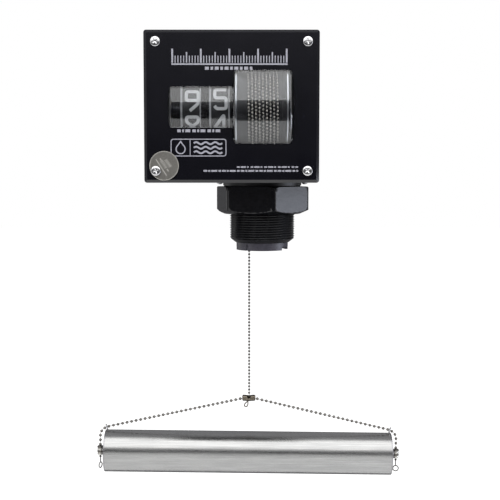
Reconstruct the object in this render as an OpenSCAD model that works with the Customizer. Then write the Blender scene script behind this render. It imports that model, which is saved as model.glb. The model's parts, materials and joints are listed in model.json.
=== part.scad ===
// Float level gauge: a bead chain runs from a float, through a pipe nipple, onto a spring-wound
// drum that turns two number wheels behind a domed window.
// Millimetres. The origin is on the nipple's axis, where the hexagon meets the pipe thread.
// +Z is up, +X is to the reader's right, and the reader stands on the -Y side.

/* [Case] */
// Width of the case
case_w = 151.4; // [149:0.1:165]
// Height of the case
case_h = 131; // [125:0.1:145]
// Depth of the case behind the cover's gasket
case_d = 112.2; // [105:0.1:125]
// Wall of the case
case_wall = 3; // [2:0.1:4]
// How far the middle of the case sits to the left of the nipple
case_shift = 27.2; // [26:0.1:29]
// Radius of the case's long edges
corner_r = 2.5; // [1:0.1:5]
// Distance of the cover screws from the case's edges
screw_inset = 10.3; // [9:0.1:12]
// Height of the drum's axis above the bottom of the case
axis_height = 65; // [63:0.1:68]

/* [Cover] */
// Thickness of the front cover
cover_t = 3; // [2.6:0.1:3.6]
// Width of the bevel along the cover's edge
bevel_w = 2.6; // [1.5:0.1:4]
// Thickness left at the cover's edge, under the bevel
cover_edge = 0.3; // [0.2:0.1:2]
// Thickness of the cover's gasket
gasket_t = 1.2; // [0.6:0.1:2]
// Width of the gasket's strip
gasket_w = 5; // [3:0.1:8]

/* [Window] */
// Depth of the drum's axis behind the front face
window_depth = 33; // [32:0.1:34]
// Wall of the clear lens
lens_wall = 1.6; // [1.2:0.1:1.8]
// Air between the lens and what turns in it
lens_gap = 1.3; // [1:0.1:2]
// How deep the lens is bonded into the cover
lens_seat = 2; // [1.5:0.1:2.2]
// Taper of the lens's end walls, in degrees
lens_draft = 9; // [5:0.5:12]
// Air between the big dome's end wall and the drum's left flange
lens_side_gap = 0.45; // [0.4:0.05:0.8]
// Rounding of the lens's shoulders
lens_round = 3; // [2:0.1:3.6]
// Glue line round the lens
glue_gap = 0.1; // [0.05:0.05:0.3]
// Window's reach to the left of the tens wheel
window_left = 10.7; // [9:0.1:12]
// Window's reach past the drum on the right
window_right = 5.4; // [4:0.1:7]

/* [Drum] */
// Chain paid out by one turn of the drum
turn_length = 254; // [250:0.5:256]
// Width of the drum over its flanges
drum_w = 45.2; // [42:0.1:47]
// Where the middle of the drum sits beside the nipple's axis
drum_x = -1.2; // [-2:0.1:0]
// Radius of the drum's flanges
flange_r = 42.6; // [42:0.1:43]
// Thickness of the drum's flanges
flange_t = 1; // [0.6:0.1:1.6]
// Width of the raised shoulder beside each flange
shoulder_w = 4; // [2:0.1:4.2]
// Height of the shoulder over the drum's floor
shoulder_h = 2; // [1:0.1:2.4]
// Wall of the drum's rim
rim_t = 2.5; // [1.5:0.1:4]
// Radius of the main shaft
shaft_r = 4; // [3:0.1:5]
// Running clearance of the shaft, on the radius
run_gap = 0.06; // [0.03:0.01:0.1]

/* [Number wheels] */
// Radius of the number wheels
wheel_r = 34.5; // [33.5:0.1:35]
// Width of each number wheel
wheel_w = 17.5; // [16.5:0.1:18.5]
// Gap between the two number wheels
wheel_gap = 7.2; // [6.8:0.1:8]
// Gap between the units wheel and the drum
drum_gap = 5.1; // [4:0.1:6]
// Height of the lip on the wheels' edges
lip_h = 0.4; // [0.2:0.1:0.6]
// Module of the transfer gears
gear_module = 2; // [1.9:0.02:2.1]
// Play between the transfer gears' teeth
gear_play = 0.45; // [0.3:0.05:0.6]

/* [Chain] */
// Diameter of the small beads
bead_d = 2.4; // [2.1:0.05:2.5]
// Spacing of the small beads
bead_pitch = 3.07; // [2.9:0.01:3.3]
// Spacing of the turns on the drum
wrap_pitch = 3.1; // [3:0.01:3.2]
// Turns wound on the drum at rest
wrap_turns = 9.2; // [8:0.1:9.6]
// How far the wound turns sit to the right of the drum's middle
wrap_shift = 1.36; // [1:0.01:1.5]
// Where the chain hangs beside the nipple's axis
hang_x = -12.2; // [-13:0.1:-11]
// Diameter of the bridle's beads
bridle_bead_d = 3.2; // [2.8:0.05:3.4]
// Spacing of the bridle's beads
bridle_pitch = 4.38; // [4.1:0.01:4.6]

/* [Nipple] */
// Height of the hexagon
hex_h = 25.2; // [20:0.1:30]
// Width of the hexagon across its flats
hex_af = 77.8; // [74:0.1:84]
// Turn of the hexagon about its axis, in degrees
hex_turn = -16.5; // [-30:0.5:30]
// Radius of the pipe thread's crests
thread_r = 30.2; // [28.5:0.1:31]
// Length of the straight stretch of the pipe thread
thread_l = 22.7; // [20:0.1:26]
// Length of the thread's lead-in cone
lead_in_l = 4; // [2:0.1:5]
// Height of the round collar under the case
collar_h = 3.3; // [2.8:0.1:6]
// Radius of the round collar under the case
collar_r = 36.5; // [34:0.1:38]
// Outer radius of the guide sleeve
sleeve_r = 24.1; // [22:0.05:24.5]
// Wall of the guide sleeve
sleeve_wall = 2.6; // [1.5:0.05:3]
// How far the sleeve reaches below the nipple
sleeve_reach = 7; // [5:0.1:10]

/* [Tag] */
// Radius of the tag disc
tag_r = 12.75; // [11:0.05:14]
// Thickness of the tag disc
tag_t = 0.8; // [0.5:0.1:1.2]
// Distance of the tag's hole from its middle
tag_offset = 8.35; // [7:0.05:9]
// Direction from the screw to the tag's middle, in degrees above the horizontal
tag_angle = 31.8; // [0:0.1:60]

/* [Float] */
// Length of the float
float_l = 272; // [240:1:300]
// Diameter of the float
float_d = 39.5; // [36:0.1:42]
// Wall of the float's tube
float_wall = 1.2; // [0.8:0.1:2]
// Height of the float's middle
float_z = -227.9; // [-235:0.1:-224]
// Sideways place of the float's middle
float_x = -13.25; // [-15:0.05:-11]
// Roll of the float, right end down, in degrees
float_roll = 0.69; // [0:0.01:2]
// Height of the coupling where the chains meet
coupling_z = -175.4; // [-178:0.1:-172]
// Length of the coupling
coupling_l = 12.5; // [12:0.1:14]
// Distance of the barrel connectors from the float's ends
barrel_gap = 4.95; // [4.5:0.05:6]
// Height of the barrel connectors
barrel_h = 8.8; // [8.4:0.1:10]
// Radius of the barrel connectors
barrel_r = 2.6; // [2.5:0.05:2.8]

/* [Hidden] */
$fn = 48;

// Far enough past a face for a clean cut
past = 1;

// Heights, from the hexagon's foot upwards
nipple_gasket_t = 1;
gasket_top_z = hex_h + nipple_gasket_t;
case_z0 = gasket_top_z + collar_h;
case_z1 = case_z0 + case_h;
floor_z = case_z0 + case_wall;
axis_z = case_z0 + axis_height;

// Depths, from the chain's plane forwards and back
chain_line_r = turn_length / (2 * PI);
axis_y = -chain_line_r;
face_y = axis_y - window_depth;
cover_back_y = face_y + cover_t;
case_y0 = cover_back_y + gasket_t;
case_y1 = case_y0 + case_d;

// The case's sides
case_x0 = -case_shift - case_w / 2;
case_x1 = -case_shift + case_w / 2;
wall_x0 = case_x0 + case_wall;
wall_x1 = case_x1 - case_wall;
screw_x0 = case_x0 + screw_inset;
screw_x1 = case_x1 - screw_inset;
screw_z0 = case_z0 + screw_inset;
screw_z1 = case_z1 - screw_inset;

// Places along the drum's axis
drum_x0 = drum_x - drum_w / 2;
drum_x1 = drum_x + drum_w / 2;
units_x1 = drum_x0 - drum_gap;
units_x0 = units_x1 - wheel_w;
tens_x1 = units_x0 - wheel_gap;
tens_x0 = tens_x1 - wheel_w;

// The window's ends where the lens leaves the cover
small_dome_x0 = tens_x0 - window_left;
big_dome_x0 = drum_x0 - lens_side_gap - lens_wall - (flange_r - window_depth) * tan(lens_draft);
big_dome_x1 = drum_x1 + window_right;
small_dome_r = wheel_r + lens_gap + lens_wall;
big_dome_r = flange_r + lens_gap + 0.1 + lens_wall;
small_dome_half = sqrt(pow(small_dome_r, 2) - pow(window_depth, 2));
big_dome_half = sqrt(pow(big_dome_r, 2) - pow(window_depth, 2));

// Screws
screw_r = 2;
screw_hole_r = screw_r + 0.1;
screw_head_r = 4.25;
screw_head_h = 2.4;
screw_l = 24;
boss_r = 5;
boss_l = 30;
tag_air = 0.3;

// The carrier inside the case
sheet_t = 2;
sleeve_flange_t = 2;
sleeve_flange_r = sleeve_r + 2.2;
spigot_gap = 0.1;
spigot_r = sleeve_flange_r + 0.45;
spigot_top_z = case_z0 + 13.5;
boss_ring_r = spigot_r + 7.5;
chassis_z = spigot_top_z + sleeve_flange_t + 1;
chassis_y0 = case_y0 + 7;
chassis_y1 = 30;
chassis_hole_r = sleeve_r - 0.5;
plate_back_y = axis_y + 26;
plate_top_z = axis_z + 16;
foot_screw_head_r = 2.9;
foot_screw_head_h = 2.4;
foot_screw_dome_r = 3.8;
foot_screw_dome_z = 1.4;
foot_cross_l = 3.4;
foot_cross_w = 0.7;
foot_cross_d = 1.2;
foot_x = collar_r + foot_screw_head_r + 0.2;
left_plate_x = small_dome_x0 - 2.2;
// Room between the right plate and the case's wall for the bush and the shaft's end
plate_room = 5.1;
right_plate_x = wall_x1 - plate_room;
// Air between the drum and the carrier's foot, which is cut away where the drum hangs lower
drum_air = 1;
spring_x0 = drum_x1 + 4.6;
spring_cover_t = 1.5;
spring_cup_x0 = spring_x0 + spring_cover_t;
spring_cup_l = right_plate_x - spring_cup_x0;
spring_cup_r = 23.5;
spring_cup_wall = 1.5;
bush_wall = 2;
bush_flange_w = 2;
bush_r = shaft_r + bush_wall;
bush_flange_r = bush_r + bush_flange_w;
bush_flange_t = 0.8;

// The pinion's bracket, from the pinion's pin
bracket_front = 3.8;
bracket_back = 4;
bracket_back_t = 1;
bracket_top = 5;
bracket_clear = 2;

// The power spring: a flat strip wound in a spiral
strip_t = 0.5;
strip_w = spring_cup_l - spring_cup_wall - 2.5;
strip_turns = 7;
strip_steps = 20;
arbor_r = shaft_r + 2.5;
strip_r0 = arbor_r + 0.8;
strip_r1 = spring_cup_r - spring_cup_wall - 0.9;

// The transfer gears between the number wheels
wheel_teeth = 20;
pinion_teeth = 8;
pressure_angle = 25;
addendum = 0.75;
dedendum = 1.05;
gear_centres = gear_module * (wheel_teeth + pinion_teeth) / 2;
gear_tip_r = gear_module * (wheel_teeth / 2 + addendum);
pinion_tip_r = gear_module * (pinion_teeth / 2 + addendum);
pinion_y = axis_y + gear_centres;
gear_face = wheel_gap / 2 - 0.3;
cheek_t = 1;
cheek_air = 0.3;
pinion_pin_r = 1.5;
pinion_air = 0.2;

// The number wheels' sections
wheel_rim_t = 2.6;
wheel_web_t = 2.4;
wheel_hub_r = shaft_r + 4;
lip_w = 0.8;
// Air scooped out of the cover's back round the wheels
wheel_scoop = 0.5;

// The drum's section, under the chain's own line
drum_floor_r = chain_line_r - bead_d / 2 - 0.2;
drum_hub_r = shaft_r + 5;
core_x0 = drum_x0 + flange_t;
core_x1 = drum_x1 - flange_t;

// The chain's way from the drum to the coupling
link_r = 0.5;
wrap_x0 = drum_x - (wrap_turns * wrap_pitch) / 2 + wrap_shift;
lead_x = wrap_x0 - 0.2 * bead_d;
chain_foot_z = coupling_z + 1.8;
chain_beads = floor((axis_z - chain_foot_z) / bead_pitch) + 1;
lean_low = ceil((-28 - chain_foot_z) / bead_pitch);
lean_high = floor((25 - chain_foot_z) / bead_pitch);
wrap_sides = 8;
wrap_rings = 32;

// The float and what hangs it
cap_t = 1.5;
float_r = float_d / 2;
coupling_x = hang_x - 0.3;
coupling_r = 2.9;
coupling_wall = 1;
swivel_x = coupling_x - 0.9;
eye_rise = 3.1;
eye_tilt = 20;
stud_r = 1.5;
wire_r = 0.5;
barrel_wall = 0.7;
swivel_gap = 0.15;
swivel_head_r = 1.15;
swivel_z = coupling_z - 1.1;

black = "#17171c";
rubber = "#202022";
steel = "#b9babd";
bright = "#d6d7da";
zinc = "#c2c4c4";

// Flat shape drawn in X and Z, thickened from y0 to y1
module slab_y(y0, y1) {
    translate([0, y1, 0]) rotate([90, 0, 0]) linear_extrude(y1 - y0) children();
}

// Flat shape drawn in Y and Z, thickened from x0 to x1
module slab_x(x0, x1) {
    translate([x0, 0, 0]) rotate([90, 0, 90]) linear_extrude(x1 - x0) children();
}

// Rectangle with round corners, between two corners
module round_rect(x0, x1, z0, z1, r) {
    translate([x0 + r, z0]) square([x1 - x0 - 2 * r, z1 - z0]);
    translate([x0, z0 + r]) square([x1 - x0, z1 - z0 - 2 * r]);
    for (x = [x0 + r, x1 - r], z = [z0 + r, z1 - r]) translate([x, z]) circle(r);
}

// Cylinder along X on the drum's axis
module on_axis(x0, x1, r) {
    translate([x0, axis_y, axis_z]) rotate([0, 90, 0]) cylinder(h = x1 - x0, r = r);
}

// Ring along X on the drum's axis
module ring_on_axis(x0, x1, r, bore) {
    difference() {
        on_axis(x0, x1, r);
        on_axis(x0 - past, x1 + past, bore);
    }
}

// Cylinder along Y
module post_y(x, z, y0, y1, r) {
    translate([x, y1, z]) rotate([90, 0, 0]) cylinder(h = y1 - y0, r = r);
}

// Round bar between two points
module rod(a, b, r) {
    d = b - a;
    l = norm(d);
    translate(a) rotate([0, acos(d[2] / l), atan2(d[1], d[0])]) cylinder(h = l, r = r, $fn = 16);
}

// Pan-head screw with a crossed recess, its head's underside at the origin, pointing to +Y
module pan_screw(length) {
    post_y(0, 0, -0.01, length, screw_r);
    difference() {
        intersection() {
            post_y(0, 0, -screw_head_h, 0, screw_head_r);
            translate([0, 2.9, 0]) sphere(r = 5.3);
        }
        for (a = [0, 90]) rotate([0, a, 0])
            translate([-2.4, -screw_head_h - past, -0.5]) cube([4.8, past + 1.5, 1]);
    }
}

// The case and its cover

module case() {
    color(black) difference() {
        union() {
            difference() {
                slab_y(case_y0, case_y1) round_rect(case_x0, case_x1, case_z0, case_z1, corner_r);
                slab_y(case_y0 - past, case_y1 - case_wall)
                    round_rect(wall_x0, wall_x1, floor_z, case_z1 - case_wall, 1);
            }
            for (x = [screw_x0, screw_x1], z = [screw_z0, screw_z1])
                corner_boss(x, z);
            translate([0, 0, gasket_top_z]) cylinder(h = collar_h + past, r = collar_r);
            translate([0, 0, floor_z - past])
                cylinder(h = spigot_top_z - 1 - floor_z + past, r = boss_ring_r);
            for (x = [-foot_x, foot_x])
                translate([x, 0, floor_z - past]) cylinder(h = chassis_z - floor_z + past, r = 4.2);
        }
        translate([0, 0, gasket_top_z - past])
            cylinder(h = spigot_top_z - gasket_top_z + 2 * past, r = spigot_r + spigot_gap);
        for (x = [screw_x0, screw_x1], z = [screw_z0, screw_z1])
            post_y(x, z, case_y0 - past, case_y0 + boss_l - 4, screw_hole_r);
        for (x = [-foot_x, foot_x])
            translate([x, 0, case_z0 - past])
                cylinder(h = chassis_z - case_z0 + 2 * past, r = screw_hole_r);
    }
}

// Boss that takes a cover screw, joined to the nearer side wall
module corner_boss(x, z) {
    side = x < -case_shift ? wall_x0 - 1 : x;
    post_y(x, z, case_y0, case_y0 + boss_l, boss_r);
    translate([side, case_y0, z - 1]) cube([screw_inset - case_wall + 1, boss_l, 2]);
}

module cover_gasket() {
    color(rubber) difference() {
        slab_y(cover_back_y, case_y0)
            round_rect(case_x0 + 0.6, case_x1 - 0.6, case_z0 + 0.6, case_z1 - 0.6, corner_r);
        slab_y(cover_back_y - past, case_y0 + past)
            round_rect(case_x0 + gasket_w, case_x1 - gasket_w,
                case_z0 + gasket_w, case_z1 - gasket_w, corner_r);
        for (x = [screw_x0, screw_x1], z = [screw_z0, screw_z1])
            post_y(x, z, cover_back_y - past, case_y0 + past, screw_hole_r);
    }
}

// Section of the bevelled cover, across one direction
module bevel_section(lo, hi) {
    bevel_d = cover_t - cover_edge;
    polygon([[cover_back_y, lo], [face_y + bevel_d, lo], [face_y, lo + bevel_w],
        [face_y, hi - bevel_w], [face_y + bevel_d, hi], [cover_back_y, hi]]);
}

module front_cover() {
    color(black) difference() {
        intersection() {
            slab_y(face_y - past, cover_back_y)
                round_rect(case_x0, case_x1, case_z0, case_z1, corner_r);
            slab_x(case_x0, case_x1) bevel_section(case_z0, case_z1);
            translate([0, 0, case_z0]) linear_extrude(case_h)
                mirror([1, -1]) bevel_section(case_x0, case_x1);
        }
        window_form(glue_gap, cover_back_y + past);
        on_axis(tens_x0 - wheel_scoop, units_x1 + wheel_scoop, wheel_r + lip_h + wheel_scoop);
        for (x = [screw_x0, screw_x1], z = [screw_z0, screw_z1])
            post_y(x, z, face_y - past, cover_back_y + past, screw_hole_r);
    }
}

// Outline of a dome's half section: a drafted end wall that turns over a round shoulder
function dome_end(r, grow) = let (
        e = lens_round + grow,
        drop = (r - lens_round - window_depth) * tan(lens_draft))
    [for (a = [0:15:90]) [r - lens_round + e * sin(a), drop + lens_round - e * cos(a)]];

// Solid of one dome, r at its crown, between its two end walls
module dome(x0, x1, r, grow, left_end, right_end) {
    root_r = window_depth - 8;
    root_drop = (root_r - window_depth) * tan(lens_draft) - grow / cos(lens_draft);
    left = left_end ? dome_end(r, grow) : [[r + grow, 0]];
    right = right_end ? dome_end(r, grow) : [[r + grow, 0]];
    base = [[0, root_drop], [root_r, root_drop]];
    low = [for (p = concat(left_end ? base : [[0, 0]], left)) [p[0], x0 + p[1]]];
    top = [for (p = concat(right_end ? base : [[0, 0]], right)) [p[0], x1 - p[1]]];
    translate([0, axis_y, axis_z]) rotate([0, 90, 0]) rotate_extrude($fn = 96)
        polygon(concat(low, [for (i = [len(top) - 1:-1:0]) top[i]]));
}

// Both domes as one solid that reaches back to depth_y; grow swells or shrinks it
module window_form(grow, depth_y) {
    intersection() {
        dome(big_dome_x0, big_dome_x1, big_dome_r, grow, true, true);
        translate([case_x0, axis_y - 60, axis_z - big_dome_half - grow])
            cube([case_w, depth_y - axis_y + 60, 2 * (big_dome_half + grow)]);
    }
    intersection() {
        dome(small_dome_x0, big_dome_x0 + 6, small_dome_r, grow, true, false);
        translate([case_x0, axis_y - 60, axis_z - small_dome_half - grow])
            cube([case_w, depth_y - axis_y + 60, 2 * (small_dome_half + grow)]);
    }
}

module lens() {
    color([0.85, 0.88, 0.92, 0.35]) difference() {
        window_form(0, face_y + lens_seat);
        window_form(-lens_wall, face_y + lens_seat + past);
    }
}

module cover_screws() {
    color(bright) {
        translate([screw_x0, face_y, screw_z1]) rotate([0, 35, 0]) pan_screw(screw_l);
        translate([screw_x1, face_y, screw_z1]) rotate([0, 10, 0]) pan_screw(screw_l);
        translate([screw_x1, face_y, screw_z0]) rotate([0, 40, 0]) pan_screw(screw_l);
    }
}

module tag_screw() {
    color(bright) translate([screw_x0, face_y - tag_t - 2 * tag_air, screw_z0])
        rotate([0, 20, 0]) pan_screw(screw_l);
}

module tag_disc() {
    y1 = face_y - tag_air;
    x = screw_x0 + tag_offset * cos(tag_angle);
    z = screw_z0 + tag_offset * sin(tag_angle);
    color(steel) difference() {
        post_y(x, z, y1 - tag_t, y1, tag_r);
        post_y(screw_x0, screw_z0, y1 - tag_t - past, y1 + past, screw_hole_r);
    }
}

// The nipple that screws into the tank

module nipple_gasket() {
    color(rubber) translate([0, 0, hex_h]) difference() {
        cylinder(h = nipple_gasket_t, r = collar_r - 0.8);
        translate([0, 0, -past])
            cylinder(h = nipple_gasket_t + 2 * past, r = spigot_r + spigot_gap);
    }
}

module hex_nipple() {
    corner = hex_af / 2 / cos(30);
    foot_chamfer = 3.8;
    foot_slope = 5.6;
    top_chamfer = 0.9;
    top_slope = 2.2;
    clip = 0.7;
    thread_foot = -thread_l - lead_in_l;
    lead_r = sleeve_r + 0.35;
    color(black) difference() {
        union() {
            intersection() {
                rotate([0, 0, hex_turn]) cylinder(h = hex_h, r = corner, $fn = 6);
                rotate_extrude($fn = 96) polygon([[0, 0], [corner - foot_chamfer - foot_slope, 0],
                    [corner - clip, foot_chamfer], [corner - clip, hex_h - top_chamfer],
                    [corner - top_slope, hex_h], [0, hex_h]]);
            }
            translate([0, 0, -thread_l]) cylinder(h = thread_l + past, r = thread_r, $fn = 96);
            translate([0, 0, thread_foot])
                cylinder(h = lead_in_l, r1 = lead_r + 0.6, r2 = thread_r, $fn = 96);
            translate([0, 0, hex_h - past])
                cylinder(h = spigot_top_z - hex_h + past, r = spigot_r, $fn = 96);
        }
        translate([0, 0, thread_foot - past])
            cylinder(h = spigot_top_z - thread_foot + 2 * past, r = sleeve_r + 0.2, $fn = 96);
    }
}

// Slotted guide tube in the nipple's bore
module guide_sleeve() {
    foot = -thread_l - lead_in_l - sleeve_reach;
    lug_h = 2.8;
    slot_w = 1.6;
    reach = sleeve_r + 16;
    lug_angle = 46;
    color("#24242a") difference() {
        union() {
            translate([0, 0, foot]) cylinder(h = spigot_top_z - foot + 0.5, r = sleeve_r, $fn = 96);
            translate([0, 0, spigot_top_z])
                cylinder(h = sleeve_flange_t, r = sleeve_flange_r, $fn = 96);
        }
        translate([0, 0, foot - past])
            cylinder(h = spigot_top_z - foot + 3 * past + sleeve_flange_t,
                r = sleeve_r - sleeve_wall, $fn = 96);
        for (half = [0, 180]) rotate([0, 0, half]) {
            translate([0, 0, foot - past]) rotate([0, 0, -41]) linear_extrude(lug_h + past)
                polygon([[0, 0], [reach, 0], [reach, reach * tan(lug_angle / 2)],
                    reach * [cos(lug_angle), sin(lug_angle)]]);
            rotate([0, 0, -126]) translate([0, -slot_w / 2, foot - past])
                cube([reach, slot_w, 2 * lug_h + past]);
        }
    }
}

// The carrier inside the case

// Side plate, drawn in Y and Z: a foot that narrows to a round head over the shaft
module plate_outline() {
    head_r = 14;
    polygon([[chassis_y0, chassis_z], [plate_back_y, chassis_z], [plate_back_y, chassis_z + 20],
        [axis_y + head_r, axis_z], [axis_y - head_r, axis_z], [chassis_y0, chassis_z + 20]]);
    translate([axis_y, axis_z]) circle(head_r);
}

module chassis() {
    color(steel) difference() {
        union() {
            translate([left_plate_x, chassis_y0, chassis_z])
                cube([right_plate_x + sheet_t - left_plate_x, chassis_y1 - chassis_y0, sheet_t]);
            slab_x(left_plate_x, left_plate_x + sheet_t) plate_outline();
            slab_x(right_plate_x, right_plate_x + sheet_t) plate_outline();
        }
        translate([0, 0, chassis_z - past]) cylinder(h = sheet_t + 2 * past, r = chassis_hole_r);
        on_axis(drum_x0 - drum_air, drum_x1 + drum_air, flange_r + drum_air);
        for (x = [-foot_x, foot_x])
            translate([x, 0, chassis_z - past]) cylinder(h = sheet_t + 2 * past, r = screw_hole_r);
        on_axis(left_plate_x - past, left_plate_x + sheet_t + past, bush_r);
        on_axis(right_plate_x - past, right_plate_x + sheet_t + past, bush_r);
    }
}

module chassis_screws() {
    color(bright) for (x = [-foot_x, foot_x]) translate([x, 0, case_z0]) {
        translate([0, 0, -0.01]) cylinder(h = chassis_z + sheet_t - case_z0 - 0.2, r = screw_r);
        difference() {
            intersection() {
                translate([0, 0, -foot_screw_head_h])
                    cylinder(h = foot_screw_head_h, r = foot_screw_head_r);
                translate([0, 0, foot_screw_dome_z]) sphere(r = foot_screw_dome_r);
            }
            for (a = [20, 110]) rotate([0, 0, a])
                translate([-foot_cross_l / 2, -foot_cross_w / 2, -foot_screw_head_h - past])
                    cube([foot_cross_l, foot_cross_w, past + foot_cross_d]);
        }
    }
}

module shaft_bushes() {
    color("#a8864f") {
        difference() {
            union() {
                on_axis(left_plate_x, left_plate_x + sheet_t, bush_r);
                on_axis(left_plate_x + sheet_t, left_plate_x + sheet_t + bush_flange_t,
                    bush_flange_r);
            }
            on_axis(left_plate_x - past, left_plate_x + sheet_t + 2 * past, shaft_r + run_gap);
        }
        difference() {
            union() {
                on_axis(right_plate_x - spring_cup_wall, right_plate_x + sheet_t, bush_r);
                on_axis(right_plate_x + sheet_t, right_plate_x + sheet_t + bush_flange_t,
                    bush_flange_r);
            }
            on_axis(right_plate_x - spring_cup_wall - past, right_plate_x + sheet_t + 2 * past,
                shaft_r + run_gap);
        }
    }
}

module spring_cup() {
    color(steel) difference() {
        on_axis(spring_cup_x0, right_plate_x, spring_cup_r);
        on_axis(spring_cup_x0 - past, right_plate_x - spring_cup_wall,
            spring_cup_r - spring_cup_wall);
        on_axis(spring_cup_x0, right_plate_x + past, bush_r);
    }
}

module spring_cover() {
    color(steel) ring_on_axis(spring_x0, spring_cup_x0, spring_cup_r, arbor_r + 1);
}

// Point on the spiral strip: side is -1 inside and +1 outside the strip's middle line
function strip_point(i, side) = let (
        t = i / (strip_turns * strip_steps),
        r = strip_r0 + strip_t / 2 + (strip_r1 - strip_r0 - strip_t) * t + side * strip_t / 2,
        a = 360 * strip_turns * t)
    [r * cos(a), r * sin(a)];

module power_spring() {
    steps = strip_turns * strip_steps;
    color("#5a6066") translate([0, axis_y, axis_z])
        slab_x(spring_cup_x0 + 1, spring_cup_x0 + 1 + strip_w)
        polygon(concat([for (i = [0:steps]) strip_point(i, -1)],
            [for (i = [steps:-1:0]) strip_point(i, 1)]));
}

// Forked arm behind the number wheels that carries the transfer pinion
module pinion_bracket() {
    x0 = tens_x1 + cheek_air;
    x1 = units_x0 - cheek_air;
    foot = chassis_z + sheet_t;
    y0 = pinion_y - bracket_front;
    y1 = pinion_y + bracket_back;
    color(steel) difference() {
        translate([x0, y0, foot])
            cube([x1 - x0, y1 - y0 + bracket_back_t, axis_z + bracket_top - foot]);
        translate([x0 + cheek_t, y0 - past, foot - past])
            cube([x1 - x0 - 2 * cheek_t, y1 - y0 + past, axis_z + bracket_top - foot + 2 * past]);
        translate([x0 - past, y1, axis_z - pinion_tip_r - bracket_clear])
            cube([x1 - x0 + 2 * past, bracket_back_t + past,
                pinion_tip_r + bracket_clear + bracket_top + past]);
        translate([x0 - past, pinion_y, axis_z]) rotate([0, 90, 0])
            cylinder(h = x1 - x0 + 2 * past, r = pinion_pin_r + 0.02);
    }
}

module pinion_pin() {
    color(bright) translate([tens_x1 + cheek_air, pinion_y, axis_z]) rotate([0, 90, 0])
        cylinder(h = wheel_gap - 2 * cheek_air, r = pinion_pin_r);
}

// The gears between the wheels

// Point on one flank of a tooth: an involute of the base circle
function flank(rb, r, half, side) = let (
        tilt = r > rb ? acos(rb / r) : 0,
        a = half - (tan(tilt) * 180 / PI - tilt))
    [r * cos(side * a), r * sin(side * a)];

// Gear outline with n teeth; the first tooth points along the first axis
module gear_outline(n) {
    pitch_r = gear_module * n / 2;
    rb = pitch_r * cos(pressure_angle);
    root_r = gear_module * (n / 2 - dedendum);
    tip_r = gear_module * (n / 2 + addendum);
    inv = tan(pressure_angle) * 180 / PI - pressure_angle;
    half = (PI * gear_module / 2 - gear_play) / 2 / pitch_r * 180 / PI + inv;
    low = max(root_r, rb);
    radii = [for (i = [0:3]) low + (tip_r - low) * i / 3];
    circle(root_r + 0.02, $fn = 96);
    for (k = [0:n - 1]) rotate(k * 360 / n)
        polygon(concat([flank(rb, root_r - 0.6, half, -1)],
            [for (r = radii) flank(rb, r, half, -1)],
            [for (i = [3:-1:0]) flank(rb, radii[i], half, 1)],
            [flank(rb, root_r - 0.6, half, 1)]));
}

module transfer_pinion() {
    x0 = tens_x1 + cheek_air + cheek_t + pinion_air;
    x1 = units_x0 - cheek_air - cheek_t - pinion_air;
    color("#e4e0d2") difference() {
        translate([0, pinion_y, axis_z])
            slab_x(x0, x1) rotate(180 / pinion_teeth) gear_outline(pinion_teeth);
        translate([x0 - past, pinion_y, axis_z]) rotate([0, 90, 0])
            cylinder(h = x1 - x0 + 2 * past, r = pinion_pin_r + run_gap);
    }
}

// Number wheel without its gear: rim, web and hub
module wheel_blank(x0, bore) {
    x1 = x0 + wheel_w;
    web0 = x0 + (wheel_w - wheel_web_t) / 2;
    difference() {
        union() {
            on_axis(x0, x1, wheel_r);
            for (x = [x0, x1 - lip_w]) on_axis(x, x + lip_w, wheel_r + lip_h);
        }
        ring_on_axis(x0 - past, web0, wheel_r - wheel_rim_t, wheel_hub_r);
        ring_on_axis(web0 + wheel_web_t, x1 + past, wheel_r - wheel_rim_t, wheel_hub_r);
        on_axis(x0 - past, x1 + past, bore);
    }
}

module tens_wheel() {
    web = tens_x0 + (wheel_w + wheel_web_t) / 2 - 0.5;
    color(black) {
        wheel_blank(tens_x0, shaft_r + run_gap);
        difference() {
            translate([0, axis_y, axis_z])
                slab_x(web, tens_x1 + gear_face) gear_outline(wheel_teeth);
            on_axis(web - past, tens_x1 + gear_face + past, shaft_r + run_gap);
        }
    }
}

module units_wheel() {
    web = units_x0 + (wheel_w - wheel_web_t) / 2 + 0.5;
    color(black) {
        wheel_blank(units_x0, shaft_r);
        difference() {
            translate([0, axis_y, axis_z]) slab_x(units_x0 - gear_face, web) transfer_segment();
            on_axis(units_x0 - gear_face - past, web + past, shaft_r);
        }
    }
}

// Plain locking disc with the two teeth that nudge the pinion once a turn
module transfer_segment() {
    circle(gear_centres - pinion_tip_r - 0.5, $fn = 96);
    intersection() {
        rotate(9) gear_outline(wheel_teeth);
        polygon([[0, 0], [-40 * cos(18), -40 * sin(18)], [-40, 0], [-40 * cos(18), 40 * sin(18)]]);
    }
}

// The drum and its shaft

module main_shaft() {
    color(bright) on_axis(left_plate_x - 2.5, right_plate_x + sheet_t + 2.1, shaft_r);
}

module chain_drum() {
    sh = core_x0 + shoulder_w;
    sh1 = core_x1 - shoulder_w;
    top_r = drum_floor_r + shoulder_h;
    color(black) difference() {
        union() {
            on_axis(core_x0, core_x1, drum_floor_r);
            on_axis(core_x0, sh, top_r);
            on_axis(sh1, core_x1, top_r);
            on_axis(units_x1 + 0.3, drum_x0, drum_hub_r);
            on_axis(drum_x0 - 0.01, core_x0 + 0.01, drum_hub_r);
        }
        ring_on_axis(core_x0 + rim_t, core_x1 + past, drum_floor_r - rim_t, drum_hub_r);
        on_axis(units_x1, core_x1 + 2 * past, shaft_r);
    }
}

module drum_flange_left() {
    color(steel) ring_on_axis(drum_x0, core_x0, flange_r, drum_hub_r);
}

module drum_flange_right() {
    color(steel) ring_on_axis(core_x1, drum_x1, flange_r, shaft_r);
}

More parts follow.
